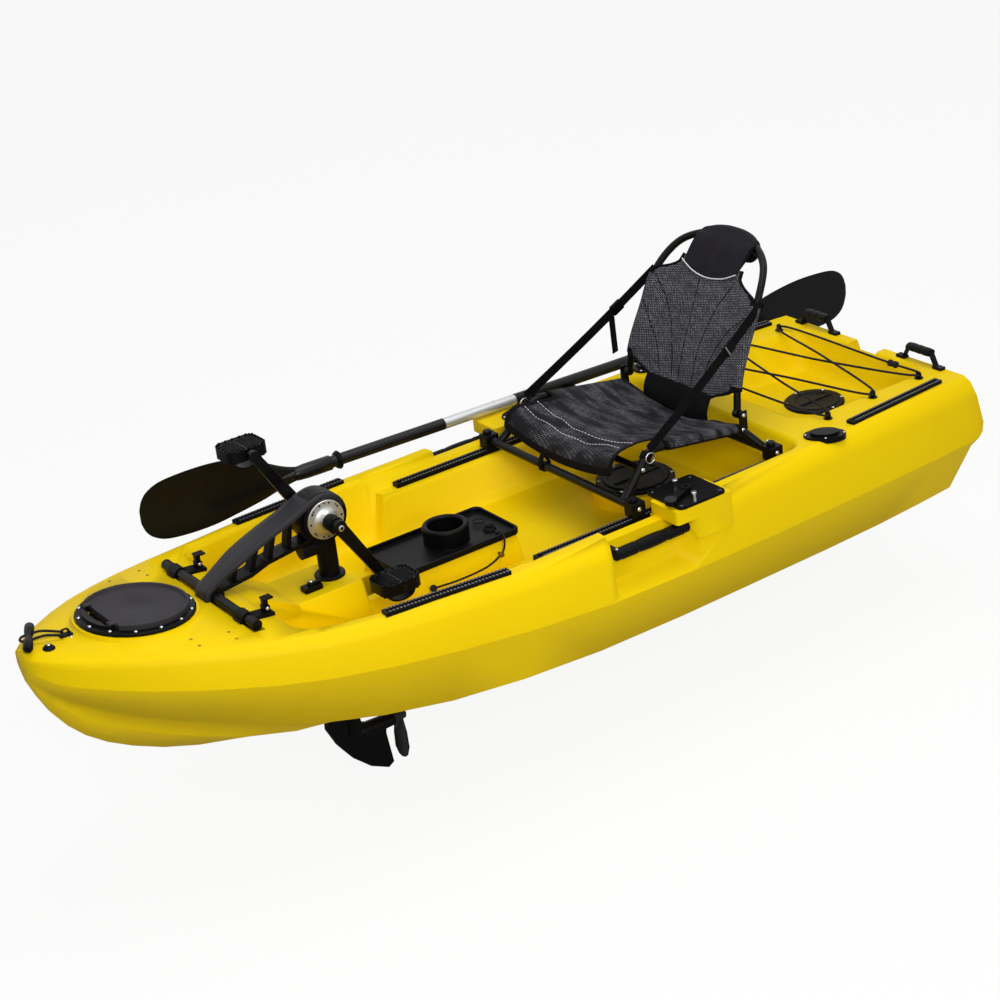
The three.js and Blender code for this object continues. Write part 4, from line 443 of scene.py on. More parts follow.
# It lies turned in its loop.
middle = mm(1218, -18, 409)
turn = Matrix.Rotation(math.radians(-26), 4, "Z")
toggle.data.transform(Matrix.Translation(middle) @ turn @ Matrix.Translation(-middle))
dressed("bow_pad_eye", moulded_nylon, ease=0.8)
BUTTON = [(0, 9), (5, 9), (8, 8), (10, 5), (13, 3), (14, 0), (14, -2), (0, -2)]
foot, way = on_deck(1196, 30)
turned("bow_toggle_button", BUTTON, foot / MM, way, moulded_nylon, "hull", steps=24)
screws("bow_fitting_screws", [on_deck(1136, 12), on_deck(1136, -12), (foot + way * 9 * MM, way)])

# Deck tracks and seat rails
# Slotted nylon tracks screwed to the deck, and the two long rails that the seat slides on. Both
# edges of each carry a row of moulded teeth, so that whatever is clamped there can't creep.
TOOTH = (4.2, 6.0, 2.4)
PITCH = 9.0 * MM
# Nylon as moulded, smoother on top, its teeth painted paler as a painted highlight for their glints.
tooth_highlight_nylon = finish("tooth_highlight_nylon", "#4C4C50", "#6E6E73", 0.4, 2.5, 0.15, patch=20, gloss=0.3)


def block(form, size, middle, turn=Matrix()):
    """Adds a box of this size about its middle, both in millimetres, turned by a matrix."""
    place = Matrix.Translation(mm(*middle)) @ turn
    bmesh.ops.create_cube(form, size=1, matrix=place @ Matrix.Diagonal((*mm(*size), 1)))


def top_end(node, way):
    """The height of a CAD bar's top at its forward (1) or after (-1) end, with the middle of that end."""
    corners = [v.co for v in frame["nodes"][node].data.vertices]
    last = max(c.x * way for c in corners)
    near = [c for c in corners if c.x * way > last - 14 * MM]
    high = max(c.z for c in near)
    rim = [c for c in near if c.z > high - 1.5 * MM]
    return Vector((last * way, (min(c.y for c in rim) + max(c.y for c in rim)) / 2, high))


for track in ("front_track", "rear_track", "seat_rail"):
    for word in ("port", "starboard"):
        node = f"{track}_{word}"
        dressed(node, moulded_nylon, ease=0.6)
        ahead_end, after_end = top_end(node, 1), top_end(node, -1)
        along = (ahead_end - after_end).normalized()
        across = UP.cross(along).normalized()
        lie = Matrix((along, across, along.cross(across))).transposed().to_4x4()
        offset = 8.4 if track == "seat_rail" else 8.0
        teeth = bmesh.new()
        count = int((ahead_end - after_end).length / PITCH) - 1
        for i in range(count):
            spot = (after_end + along * (PITCH * (i + 1))) / MM
            for edge in (-offset, offset):
                block(teeth, TOOTH, spot + across * edge, lie)
        made = piece(f"{node}_teeth", teeth, tooth_highlight_nylon, "hull")

# Side handles
# A round nylon bar across each side pocket on two brackets, ribbed towards its ends with a smooth
# oval at its middle for the palm.
HANDLE = [(0, 0), (11, 0), (14, 3), (14, 14)]
for rib in range(18, 63, 9):
    HANDLE += [(14, rib), (15.2, rib + 2), (15.2, rib + 5), (14, rib + 7)]
HANDLE += [(14.2, 66), (15.6, 84), (16, 108)]
HANDLE += [(radius, 216 - height) for radius, height in reversed(HANDLE[:-1])]
GRIP_Y, GRIP_Z, BRACKETS = 396, 282, (-239, -41)
for side, word in ((1, "port"), (-1, "starboard")):
    name, end = f"side_handle_grip_{word}", (-248, GRIP_Y * side, GRIP_Z)
    grip = turned(name, HANDLE, end, (1, 0, 0), moulded_nylon, "hull", steps=28)
    form = bmesh.new()
    for x in BRACKETS:
        block(form, (18, 33, 24), (x, 379 * side, GRIP_Z))
    brackets = piece(f"side_handle_brackets_{word}", form, moulded_nylon, "hull")
    ease_edges(brackets, 3, segments=3)
    for made in (grip, brackets):
        stands(f"side_handle_{word}")
    bolts = [(mm(x, GRIP_Y * side, GRIP_Z + 14), UP) for x in BRACKETS]
    screws(f"side_handle_bolts_{word}", bolts, size=0.9)

# Stern handles, rod holders and lacing eyes
# Webbing straps with ribbed grips, flush rod holders with oval flanges and caps, and the six eyes
# that the lacing runs through: all nylon mouldings screwed to the deck.
for word in ("port", "starboard"):
    dressed(f"stern_handle_{word}", moulded_nylon)
for node in sorted(frame["nodes"]):
    if node.startswith("bungee_eye"):
        dressed(node, moulded_nylon, ease=0.5)
for name, x, y, turn in (
    ("rod_holder_port", -722, 352, 38),
    ("rod_holder_starboard", -722, -352, -38),
    ("rod_holder_mid", -306, -352, 0),
):
    dressed(name, moulded_nylon, ease=1.5)
    swing = Matrix.Rotation(math.radians(-turn), 3, "Z")
    flange = Vector((x, y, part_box(name)[1][2] / MM - 7.2))  # its face lies below the cap's top
    spots = [swing @ Vector(spot) + flange for spot in ((47, 0, 0), (-47, 0, 0), (0, 28, 0), (0, -28, 0))]
    screws(f"{name}_screws", [(spot * MM, UP) for spot in spots], size=0.8)

# Steering plate
# A nylon plate screwed to the port boss. The lever on it is moulded in one with its round knob, whose
# cap is grey, and two stainless posts stand beside it.
dressed("steering_plate", moulded_nylon, ease=1.0)
dressed("steering_lever", moulded_nylon, ease=1.5)
PLATE_TOP = 345
# Countersunk, so that the lever passes over them.
COUNTERSUNK = [(0, -0.9), (1.5, -0.9), (1.7, -0.1), (3.9, 0), (4.5, -0.3), (4.6, -1.6), (0, -1.6)]
corners = [mm(-285 + a * 57, 352 + b * 55, PLATE_TOP + 0.2) for a, b in ((-1, -1), (1, -1), (1, 1), (-1, 1))]
screws("steering_plate_screws", [(corner, UP) for corner in corners], profile=COUNTERSUNK)
POST = [(0, 0), (5.7, 0), (5.7, 17), (6.6, 18), (6.6, 23), (5.6, 24.4), (0, 24.4)]
posts = [(mm(x, y, PLATE_TOP), UP) for x, y in ((-276, 325), (-262, 412))]
screws("steering_posts", posts, profile=POST, steps=16)
lever_end = Matrix.Rotation(math.radians(23), 3, "Z") @ Vector((76, 0, 0)) + Vector((-281, 359, PLATE_TOP + 13.2))
KNOB_CAP = [(0, 0), (14.4, 0), (15, 1.2), (15, 3.2), (13.6, 4.6), (0, 5)]
turned("steering_knob_cap", KNOB_CAP, lever_end, UP, grey_moulding, "steering_lever")

# Console tray
# A vacuum-formed tray over the console with a deep cup holder, a rolled rim and two moulded rings in
# its after bay. The leash is led through a small brass eye on the console's side.
dressed("console_tray", moulded_nylon, ease=1.2)


def skinned(form, rings):
    """Adds a closed skin drawn out from ring to ring; the rings are equal lists of points in metres."""
    verts = [form.verts.new(p) for p in rings[0]]
    edges = list(form.faces.new(verts).edges)
    for ring in rings[1:]:
        made = bmesh.ops.extrude_edge_only(form, edges=edges)["geom"]
        new = {v for v in made if isinstance(v, bmesh.types.BMVert)}
        verts = [next(e.other_vert(v) for e in v.link_edges if e.other_vert(v) in new) for v in verts]
        for v, p in zip(verts, ring):
            v.co = p
        edges = [e for e in made if isinstance(e, bmesh.types.BMEdge) and all(v in new for v in e.verts)]
    form.faces.new(verts)
    bmesh.ops.recalc_face_normals(form, faces=form.faces)


# The rolled rim: round, led once about the tray's rounded corners.
rim = []
for x, y, start in ((334, 74, 0), (34, 74, 90), (34, -74, 180), (334, -74, 270)):
    for a in (math.radians(start + 22.5 * i) for i in range(5)):
        rim.append(mm(x + 15 * math.cos(a), y + 15 * math.sin(a), 270.6))
hoops = []
for i, place in enumerate(rim):
    out = (rim[(i + 1) % len(rim)] - rim[i - 1]).cross(UP).normalized()
    hoops.append([place + (out * math.cos(a) + UP * math.sin(a)) * 3.4 * MM for a in angles(8)])
form = bmesh.new()
skinned(form, [*hoops, hoops[0]])
bmesh.ops.delete(form, geom=[f for f in form.faces if len(f.verts) == 8], context="FACES_ONLY")
bmesh.ops.remove_doubles(form, verts=form.verts, dist=1e-6)
piece("tray_rim", form, moulded_nylon, "hull", smooth=60)


def round_ring(name, middle, reach, radius, axis, steps, material, body):
    """A round rod bent into a ring of this reach about an axis, in millimetres."""
    rod = [(reach + radius * math.cos(a), radius * math.sin(a)) for a in (*angles(8), 0)]
    turned(name, rod, middle, axis, material, body, steps=steps, smooth=60)


round_ring("tray_cup_rim", (168, 0, 301.5), 49.5, 7.4, UP, 40, moulded_nylon, "hull")
for word, y in (("port", 26), ("starboard", -20)):
    round_ring(f"tray_ring_{word}", (62, y, 269), 14, 1.6, UP, 24, moulded_nylon, "hull")
EYE = [(0, -7), (4, -7), (4, 2), (6.5, 3), (6.5, 7), (5, 8), (0, 8)]
turned("leash_eye", EYE, (84, 98, 229), (0, 1, 0), dull_brass, "hull", steps=16)

# Pivot bar and latches
# The drive tips up about a powder-coated tube. Two nylon saddles carry it, and a hinged hook on each
# locks it down.
# Powder-coated aluminium and steel: black, smooth, with a low even sheen.
powder_coat = finish("powder_coated_aluminium", "#040405", "#08080A", 0.32, 3, 0.08, gloss=0.15)
dressed("front_pivot_bar", powder_coat, ease=0.6)
PIVOT_X, PIVOT_Z = 794, 359
LATCH_X, LATCH_Z = 741, 362
PLUG = [(0, -12), (9.2, -12), (9.2, 0), (12.4, 0), (12.4, 2.2), (11, 3), (0, 3)]
for side, word in ((1, "port"), (-1, "starboard")):
    end = (PIVOT_X, 212.2 * side, PIVOT_Z)
    turned(f"pivot_bar_plug_{word}", PLUG, end, (0, side, 0), moulded_nylon, "hull")
    dressed(f"latch_saddle_{word}", moulded_nylon, ease=1.0)
    lever = dressed(f"latch_lever_{word}", moulded_nylon, ease=1.2)
    # Broader and lower than the CAD's lever, about its own pin.
    for v in lever.data.vertices:
        v.co.x = (LATCH_X + (v.co.x / MM - LATCH_X) * 1.5) * MM
        v.co.z = min(v.co.z, (LATCH_Z + (v.co.z / MM - LATCH_Z) * 0.6) * MM)
    pin_ends = [(mm(LATCH_X, (157 + way * 10.2) * side, LATCH_Z), Vector((0, way * side, 0))) for way in (1, -1)]
    screws(f"latch_bolts_{word}", pin_ends, size=1.1)

# Drive bracket
# A moulded arch from the pivot bar to the gearbox: a broad smooth band along its top, webs under it,
# and a lower chord.
# Glass-filled nylon, moulded in charcoal: a fine even grain, its smooth outer skin a little paler.
satin_moulding = finish("charcoal_glass_nylon", "#1B1A1E", "#232226", 0.5, 2.5, 0.12, gloss=0.25)
dressed("drive_arch", moulded_nylon, ease=1.5)


def with_ways(line):
    """Each point of a line, with the way the line runs there."""
    last = len(line) - 1
    return [(p, (line[min(i + 1, last)] - line[max(i - 1, 0)]).normalized()) for i, p in enumerate(line)]


def drawn(name, rings, material, body, smooth=60):
    """A piece with a closed skin drawn out from ring to ring."""
    form = bmesh.new()
    skinned(form, rings)
    return piece(name, form, material, body, smooth)


ARCH_POINTS = [
    (814.3, 0, 355.4), (813, 0, 366.5), (806.4, 0, 375.6), (760, 0, 403), (700, 0, 433),
    (640, 0, 456), (580, 0, 476), (550, 0, 489), (526, 0, 498.5), (498, 0, 504), (474, 0, 499),
    (455, 0, 484), (444, 0, 462),
]
arch_line = curved(ARCH_POINTS, per_run=5)
# The band's section, a channel with rounded shoulders: shares of its half width, and heights.
BAND = [(-1, -7), (-1, 3.4), (-0.96, 4.7), (-0.5, 5), (0.5, 5), (0.96, 4.7)]
BAND += [(1, 3.4), (1, -7), (0.9, -7), (0.9, 0), (-0.9, 0), (-0.9, -7)]
band_rings = []
for i, (p, along) in enumerate(with_ways(arch_line)):
    out = Vector((along.z, 0, -along.x))
    clear = (p - mm(PIVOT_X, 0, PIVOT_Z)).length / MM
    wide = min(26.5 + min(8.0, max(0.0, clear - 34) * 0.13), 29 + 0.8 * (len(arch_line) - 1 - i))
    band_rings.append([p + (Vector((0, y * wide, 0)) + out * z) * MM for y, z in BAND])
drawn("drive_arch_band", band_rings, satin_moulding, "drive", smooth=50)

# Gearbox and its covers
# A round gearbox on a column that stands on the console's platform, and a spun aluminium cover each
# side that the crank's boss comes out of, held by ten small screws.
# Aluminium, turned and satin anodised: pale, fine-grained, soft highlights.
satin_aluminium = finish("satin_anodised_aluminium", "#B9B8B4", "#CCCAC5", 0.42, 1.5, 0.03, metallic=1.0)
dressed("drive_head", moulded_nylon, ease=1.2)
GEARBOX_X, GEARBOX_Z = 498, 448
COVER = [(0, 0), (46.8, 0), (47.2, 1), (47.2, 6.6), (46, 8), (34, 8.4)]
COVER += [(29, 9.4), (24, 13), (21, 18), (20, 23), (0, 23)]
BOSS = [(0, 20), (19.2, 20), (19.6, 21), (19.6, 52), (18.4, 54), (0, 54)]
for side, word in ((1, "port"), (-1, "starboard")):
    face, way = (GEARBOX_X, 30 * side, GEARBOX_Z), Vector((0, side, 0))
    turned(f"gearbox_cover_{word}", COVER, face, way, satin_aluminium, "drive", steps=64)
    turned(f"crank_collar_{word}", BOSS, face, way, moulded_nylon, "drive", steps=32)
    spots = [
        (mm(GEARBOX_X + 40.5 * math.cos(a), 38 * side, GEARBOX_Z + 40.5 * math.sin(a)), way)
        for a in angles(10)
    ]
    heads(f"gearbox_cover_screws_{word}", spots, powder_coat, "drive", "black_tube", size=0.62)

# Crank
# Two forged arms half a turn apart on one spindle, powder-coated, each held by a socket bolt. A pedal
# turns on the axle at the end of each arm.
dressed("crank", powder_coat, ease=2.2)
BOLT = [(0, 1.5), (3.4, 1.5), (3.6, 4.4), (6.4, 4.4), (7.6, 3.2), (7.8, 0), (0, 0)]
for side, word in ((1, "port"), (-1, "starboard")):
    arm = (GEARBOX_X, 102 * side, GEARBOX_Z)
    turned(f"crank_bolt_{word}", BOLT, arm, (0, side, 0), stainless_steel, "crank", steps=20)

# Pedals
# Broad moulded pedals with rounded ends: ribbed treads on both faces, a row of teeth round the rim, and
# a keeper strap hung below that turns the tread upwards.
SOLE = (104, 84, 28)
KEEPER = [(-44, 0, -9), (-34, 0, -36), (-10, 0, -43), (20, 0, -36), (44, 0, -9)]
for word, x, y, z in (("port", 407.9, 152, 298), ("starboard", 588.1, -152, 598)):
    axle = Vector((x, y, z))
    form = bmesh.new()
    block(form, SOLE, axle)
    upright = [e for e in form.edges if abs(e.verts[0].co.z - e.verts[1].co.z) > 20 * MM]
    bmesh.ops.bevel(
        form, geom=upright, offset=24 * MM, affect="EDGES", segments=7, profile=0.5, material=-1, clamp_overlap=True
    )
    for face in [f for f in form.faces if abs(f.normal.z) > 0.9]:
        bmesh.ops.inset_region(form, faces=[face], thickness=5 * MM, depth=0)
        bmesh.ops.translate(form, verts=list(face.verts), vec=face.normal * -2.4 * MM)
    for lift in (1, -1):
        for row in (*range(-7, 0), *range(1, 8)):
            wide = 62 if abs(row) < 6 else 48
            block(form, (2.4, wide, 3.2), axle + Vector((row * 5.6, 0, lift * 12.2)))
        for a in angles(24):
            # A tooth of the rim: along the sides and ends of a rectangle, drawn in at its corners.
            tooth = Vector((max(-1, min(1, 1.5 * math.cos(a))) * 47, max(-1, min(1, 1.5 * math.sin(a))) * 37, 0))
            if abs(tooth.x) > 40 and abs(tooth.y) > 30:
                tooth *= 0.88
            block(form, (4.4, 4.4, 4), axle + tooth + Vector((0, 0, lift * 14.4)))
    sole = piece(f"pedal_sole_{word}", form, moulded_nylon, f"pedal_{word}")
    ease_edges(sole, 0.5, segments=1)
    rings = []
    for p, along in with_ways(curved(KEEPER, per_run=6)):
        out = Vector((-along.z, 0, along.x))
        strap = [mm(0, y, 0) + out * t * MM for y, t in ((-17, -2), (17, -2), (17, 2), (-17, 2))]
        rings.append([axle * MM + p + edge for edge in strap])
    keeper = drawn(f"pedal_keeper_{word}", rings, moulded_nylon, f"pedal_{word}")
    for made in (sole, keeper):
        stands(f"pedal_{word}")

# Leg, fin and propeller
# A moulded nylon leg down through the hull, with a pod for the shaft at its foot and a curved fin that
# sweeps from ahead of it to below the pod. The two-bladed propeller turns on that shaft.
dressed("drive_leg", moulded_nylon, ease=1.5)
dressed("propeller", grey_moulding, ease=0, smooth=60)

# Base clamp
# A small nylon block beside the column, and the lever that locks the drive down. The lever turns flat
# about the block's pin, held by a stainless bolt.
dressed("base_clamp", moulded_nylon, ease=1.5)
dressed("base_lever", moulded_nylon, ease=1.2)
screws("base_clamp_bolt", [(mm(560, 36, 315), UP)], size=1.3)

# Seat frame
# Powder-coated tube: two crossbars in the rail clamps, a bent side tube each side, and a brace. Each
# clamp is a nylon block on its rail, with a knob on top.
FRONT_BAR, REAR_BAR, BAR_Z = -172, -598, 325
# On the port side: where the tube leaves the front bar, its two bends, the brace's end, and the hinge.
FRONT_END, KNEE, HEEL = Vector((FRONT_BAR, 258, BAR_Z)), Vector((-276, 236, 420)), Vector((-560, 228, 376))
BRACE, BACK_HINGE = Vector((-238, 247, 384)), Vector((-566, 214, 412))


def on_side(side, point):
    """A point or a way of the port side (1), or the starboard one's (-1) like it."""
    return Vector((point[0], point[1] * side, point[2]))


def bent_tube(points, bend):
    """The middle line of a tube along straight runs with a bend of this reach at each corner, in metres."""
    line = [mm(*points[0])]
    for before, here, after in zip(points, points[1:], points[2:]):
        a, b, c = (Vector(p) for p in (before, here, after))
        start, end = b + (a - b).normalized() * bend, b + (c - b).normalized() * bend
        for i in range(7):
            t = i / 6
            line.append((start.lerp(b, t)).lerp(b.lerp(end, t), t) * MM)
    line.append(mm(*points[-1]))
    return line


runs = [
    ("crossbar_front", [(FRONT_BAR, -284, BAR_Z), (FRONT_BAR, 284, BAR_Z)], 11),
    ("crossbar_rear", [(REAR_BAR, -284, BAR_Z), (REAR_BAR, 284, BAR_Z)], 11),
    ("brace", [on_side(-1, BRACE), BRACE], 9),
]
for side, word in ((1, "port"), (-1, "starboard")):
    corners = [FRONT_END, KNEE, HEEL, (REAR_BAR, 272, BAR_Z)]
    runs.append((f"side_tube_{word}", [on_side(side, corner) for corner in corners], 11))
for word, points, radius in runs:
    made = strung(f"seat_{word}", [bent_tube(points, 26)], radius * MM, powder_coat, "seat")
    stands("seat_frame")
KNOB = [(0, 0), (11, 0), (11.4, 1), (11.4, 8), (10, 11), (0, 11.6)]
clamp_bolts = []
for side, word in ((1, "port"), (-1, "starboard")):
    rail = 300 * side
    for x, end in ((FRONT_BAR, "front"), (REAR_BAR, "rear")):
        form = bmesh.new()
        block(form, (40, 34, 36.6), (x, rail, 323))
        block(form, (12, 9, 8), (x, rail, 302))
        made = piece(f"rail_clamp_{end}_{word}", form, moulded_nylon, "seat")
        ease_edges(made, 3, segments=3)
        stands("seat_frame")
        name = f"rail_clamp_knob_{end}_{word}"
        turned(name, KNOB, (x + 4, rail, 341), UP, moulded_nylon, "seat", steps=12)
        clamp_bolts.append((mm(x, 317.2 * side, BAR_Z), Vector((0, side, 0))))
    form = bmesh.new()
    block(form, (24, 6, 52), on_side(side, BACK_HINGE + Vector((0, 21, -15))))
    lug = piece(f"back_hinge_lug_{word}", form, powder_coat, "seat")
    ease_edges(lug, 2, segments=3)
    on_tube = Vector((REAR_BAR, 272, 345))
    for spot, out in ((KNEE, 11), (HEEL, 12), (BACK_HINGE, 24), (BRACE, 9), (on_tube, 12)):
        clamp_bolts.append((on_side(side, spot + Vector((0, out, 0))) * MM, Vector((0, side, 0))))
screws("seat_bolts", clamp_bolts, "seat", size=1.35)

# Seat sling
# One sheet of coated mesh stretched between the side tubes: sleeves round the tubes, a rolled front
# edge, black binding along its free edges and two rows of pale stitching near the front.


def woven(name, dark, pale, fold_shade_depth):
    """Mesh cloth read from the piece's UV map, in metres, with streaks of painted shade for its slack folds; the last
    argument is how dark that painted shade goes.
    """
    material = bpy.data.materials.new(name)
    material.use_nodes = True
    tree = material.node_tree
    shader = tree.nodes["Principled BSDF"]
    shader.inputs["Roughness"].default_value = 0.75
    shader.inputs["Specular IOR Level"].default_value = 0.12
    place = add(tree, "ShaderNodeTexCoord").outputs["UV"]
    lie = add(tree, "ShaderNodeMapping", {"Vector": place, "Rotation": (0, 0, math.radians(32))})
    yarns = add(
        tree,
        "ShaderNodeTexBrick",
        {
            "Vector": lie.outputs["Vector"],
            "Color1": linear(pale),
            "Color2": linear(dark),
            "Mortar": linear("#08080A"),
            "Scale": 1.0,
            "Mortar Size": 0.0013,
            "Mortar Smooth": 0.3,
            "Bias": 0.0,
            "Brick Width": 0.0084,
            "Row Height": 0.0042,
        },
    )
    # Painted shade: streaks of noise darken the yarns towards #131317 where the cloth's slack folds would lie in
    # shade.
    fold_shade_streaks = add(tree, "ShaderNodeMapping", {"Vector": place, "Rotation": (0, 0, 0.5), "Scale": (11, 34, 1)})
    fold_shade_noise = add(tree, "ShaderNodeTexNoise", {"Vector": fold_shade_streaks.outputs["Vector"], "Scale": 1.0, "Detail": 2.0})
    shade = add(tree, "ShaderNodeMapRange", {"Value": fold_shade_noise.outputs["Fac"], 1: 0.4, 2: 0.62, 3: fold_shade_depth, 4: 1.0})
    tint = add(
        tree,
        "ShaderNodeMixRGB",
        {"Fac": shade.outputs["Result"], "Color1": linear("#131317"), "Color2": yarns.outputs["Color"]},
    )
    tree.links.new(tint.outputs["Color"], shader.inputs["Base Color"])
    relief = add(tree, "ShaderNodeBump", {"Height": yarns.outputs["Fac"], "Distance": 0.0006, "Strength": 0.8})
    relief.invert = True
    tree.links.new(relief.outputs["Normal"], shader.inputs["Normal"])
    return material


# Woven polyester mesh of grey yarns over black gaps: its 2 mm diagonal weave is drawn about 8 by 4 mm,
# as fine as the camera can see. The seat's copy has its yarns painted darker as painted shade, and painted shade
# nearly black in its slack folds; the back's folds get a faint painted shade.
back_mesh = woven("woven_polyester_mesh", "#6C6C74", "#9A9AA4", 0.72)
seat_mesh = woven("woven_polyester_mesh_painted_shade", "#54545B", "#84848E", 0.02)
# Polyester webbing and nylon pack cloth: black, flat, with a fine close weave.
webbing = finish("polyester_webbing", "#050506", "#0C0C0E", 0.8, 2.4, 0.5, patch=6, gloss=0.08)
pack_cloth = finish("nylon_pack_cloth", "#0F0D12", "#1A171D", 0.7, 1.8, 0.3, patch=30, gloss=0.12)
# Polyester thread, twisted: white, matt.
white_thread = finish("white_polyester_thread", "#C9C9CC", "#E2E2E4", 0.7, 1, 0.2, gloss=0.3)


def between(value, table):
    """Reads a table of (place, size) at a value, straight between its rows."""
    for (a, low), (b, high) in zip(table, table[1:]):
        if value <= b:
            return low + (high - low) * max(0, (value - a) / (b - a))
    return table[-1][1]


def rail_at(x):
    """The middle of the port side tube over a place on the keel line, in millimetres."""
    return KNEE.lerp(HEEL, (x - KNEE.x) / (HEEL.x - KNEE.x))


# Where the front edge starts to roll down, how long its roll is and how deep, and how far the middle
# of the cloth sags.
ROLL_FROM, ROLL, ROLL_DROP, SAG = -214, 44, 52, 16


def sling_height(x, y):
    """How high the seat's mesh lies over a point of its plan, with its slack folds, in millimetres."""
    base = rail_at(min(x, KNEE.x)).z
    roll = min(1.0, max(0.0, (x - ROLL_FROM) / ROLL))
    fold = noise.noise(Vector((x / 46 + y / 130, y / 90 - x / 200, 0))) * 8.5
    fold += noise.noise(Vector((x / 20 + y / 70, y / 110, 4))) * 5.0
    edge = max(0.0, 1 - (abs(y) / 214) ** 4) * (1 - roll)
    return base - SAG + 26 * (y / 210) ** 2 - ROLL_DROP * (1 - math.sqrt(1 - roll * roll)) + fold * edge


def outline_at(x):
    """Half the width of the seat's mesh at a place, in millimetres, where it runs free of the tubes."""
    return between(-x, [(170, 219), (214, 214), (236, 207), (262, 201), (290, 200), (318, 203)])


# The cloth's columns: round the port tube by these angles, over the seat to these shares of half its
# width, and round the starboard tube. Its rows are places along the keel line.
SLEEVE, SLEEVE_TURNS = 13.4, [-40, -13, 14, 41, 68, 95]
FLAT = 0.86
FLAT_STEPS = [FLAT - 2 * FLAT * i / 30 for i in range(31)]
sling_columns = 2 * len(SLEEVE_TURNS) + len(FLAT_STEPS)
EDGE, INNER = len(SLEEVE_TURNS), len(SLEEVE_TURNS) + len(FLAT_STEPS) - 2
SLEEVE_END = 20  # the last row of the sleeves
sling_rows = [-556 + 11.9 * i for i in range(21)] + [-306 + 11.5 * i for i in range(8)]
sling_rows += [ROLL_FROM + ROLL * math.sin(math.radians(a)) for a in (0, 14, 28, 42, 56, 68, 80, 90)]


def cloth_grid(name, rows, columns, place, kept, bound, material, trim, body):
    """A sheet by rows and columns: place gives a point and its UV, kept and bound choose whole faces and those in
    the trim."""
    form = bmesh.new()
    chart = form.loops.layers.uv.new("cloth")
    bmesh.ops.create_grid(form, x_segments=rows - 1, y_segments=columns - 1, size=0.5)
    spots = {}
    for v in form.verts:
        row, column = round((v.co.x + 0.5) * (rows - 1)), round((v.co.y + 0.5) * (columns - 1))
        v.co, chart_spot = place(row, column)
        spots[v] = row, column, chart_spot
    dropped = []
    for face in form.faces:
        row = min(spots[v][0] for v in face.verts)
        column = min(spots[v][1] for v in face.verts)
        if not kept(row, column):
            dropped.append(face)
        face.material_index = 1 if bound(row, column) else 0
        for loop in face.loops:
            loop[chart].uv = spots[loop.vert][2]
    bmesh.ops.delete(form, geom=dropped, context="FACES")
    made = piece(name, form, material, body, smooth=180)
    made.data.materials.append(trim)
    soft = made.modifiers.new("smooth", "SUBSURF")
    soft.levels = soft.render_levels = 1
    thick = made.modifiers.new("cloth", "SOLIDIFY")
    thick.thickness = 2.2 * MM
    thick.offset = 0
    return made


def sling_place(row, column):
    """A point of the seat's mesh, with its UV, in metres."""
    x = sling_rows[row]
    rail = rail_at(min(x, KNEE.x))
    count = len(SLEEVE_TURNS)
    if count <= column < count + len(FLAT_STEPS):
        share = FLAT_STEPS[column - count]
        y = share * rail.y if x < -310 else share / FLAT * outline_at(x)
        return Vector((x, y, sling_height(x, y))) * MM, (y * MM, x * MM)
    side = 1 if column < count else -1
    turn = SLEEVE_TURNS[column] if side > 0 else SLEEVE_TURNS[2 * count + len(FLAT_STEPS) - 1 - column]
    angle = math.radians(turn)
    y, z = rail.y + SLEEVE * math.cos(angle), rail.z + SLEEVE * math.sin(angle)
    wrapped = rail.y + SLEEVE * math.radians(95 - turn)
    return Vector((x, y * side, z)) * MM, (wrapped * side * MM, x * MM)


def is_trim(row, column):
    """Whether a face of the seat's cloth is black binding: its front roll, its back edge and its free sides."""
    if row >= len(sling_rows) - 3 or row == 0:
        return True
    if row >= SLEEVE_END - 1 and column in (EDGE, INNER):
        return True
    return (column < EDGE or column > INNER) and (row >= SLEEVE_END - 1 or column in (0, sling_columns - 2))


seat_sling = cloth_grid(
    "seat_sling_cloth",
    len(sling_rows),
    sling_columns,
    sling_place,
    lambda row, column: row < SLEEVE_END or EDGE <= column <= INNER,
    is_trim,
    seat_mesh,
    webbing,
    "seat",
)
stands("seat_sling")


STITCH, GAP = 7, 5


def stitches(name, points, material, body):
    """A dashed row of stitches through points in millimetres."""
    line = curved(points, per_run=12)
    gone, dash, dashes = 0.0, [], []
    for a, b in zip(line, line[1:]):
        if gone % (STITCH + GAP) < STITCH:
            dash = dash or [a]
            dash.append(b)
        elif dash:
            dashes.append(dash)
            dash = []
        gone += (b - a).length / MM
    made = strung(name, dashes, 0.9 * MM, material, body, roundness=1)
    return made


for number, start, end in ((1, -214, -222), (2, -246, -262)):
    points = []
    for t in (k / 22 - 1 for k in range(45)):
        x, y = start + (end - start) * abs(t), 196 * t
        points.append((x, y, sling_height(x, y) + 2.0))
    stitches(f"seat_stitching_{number}", points, white_thread, "seat")

# Backrest
# An arched tube on two hinges, with a mesh panel laced round its sides. The panel is cut away at its
# lower corners and at its shoulders, bound in black, and pleated, with thin dark cords laid along the pleats as
# painted crease shade that fans up from its foot.
BACK = [BACK_HINGE, (-582, 206, 490), (-620, 200, 575), (-668, 196, 668), (-724, 158, 735), (-765, 70, 765)]
back_port = curved([*BACK, (-772, 0, 770), (-765, -70, 765)], per_run=16)[: len(BACK) * 16 + 1]
arch_path = back_port + [on_side(-1, p) for p in reversed(back_port[:-1])]
back_tube = strung("back_tube", [arch_path[::2]], 9.5 * MM, powder_coat, "backrest")
HINGE_EYE = [(4.5, -7), (11, -7), (12, -6), (12, 6), (11, 7), (4.5, 7), (4.5, -7)]
form = bmesh.new()
for side in (1, -1):
    spun(form, HINGE_EYE, on_side(side, BACK_HINGE) * MM, (0, 1, 0))
bmesh.ops.recalc_face_normals(form, faces=form.faces)
back_eyes = piece("back_hinge_eyes", form, powder_coat, "backrest")
for made in (back_tube, back_eyes):
    stands("back_frame")

rise_at = [0.0]
for a, b in zip(back_port, back_port[1:]):
    rise_at.append(rise_at[-1] + math.hypot(b.x - a.x, b.z - a.z) / MM)


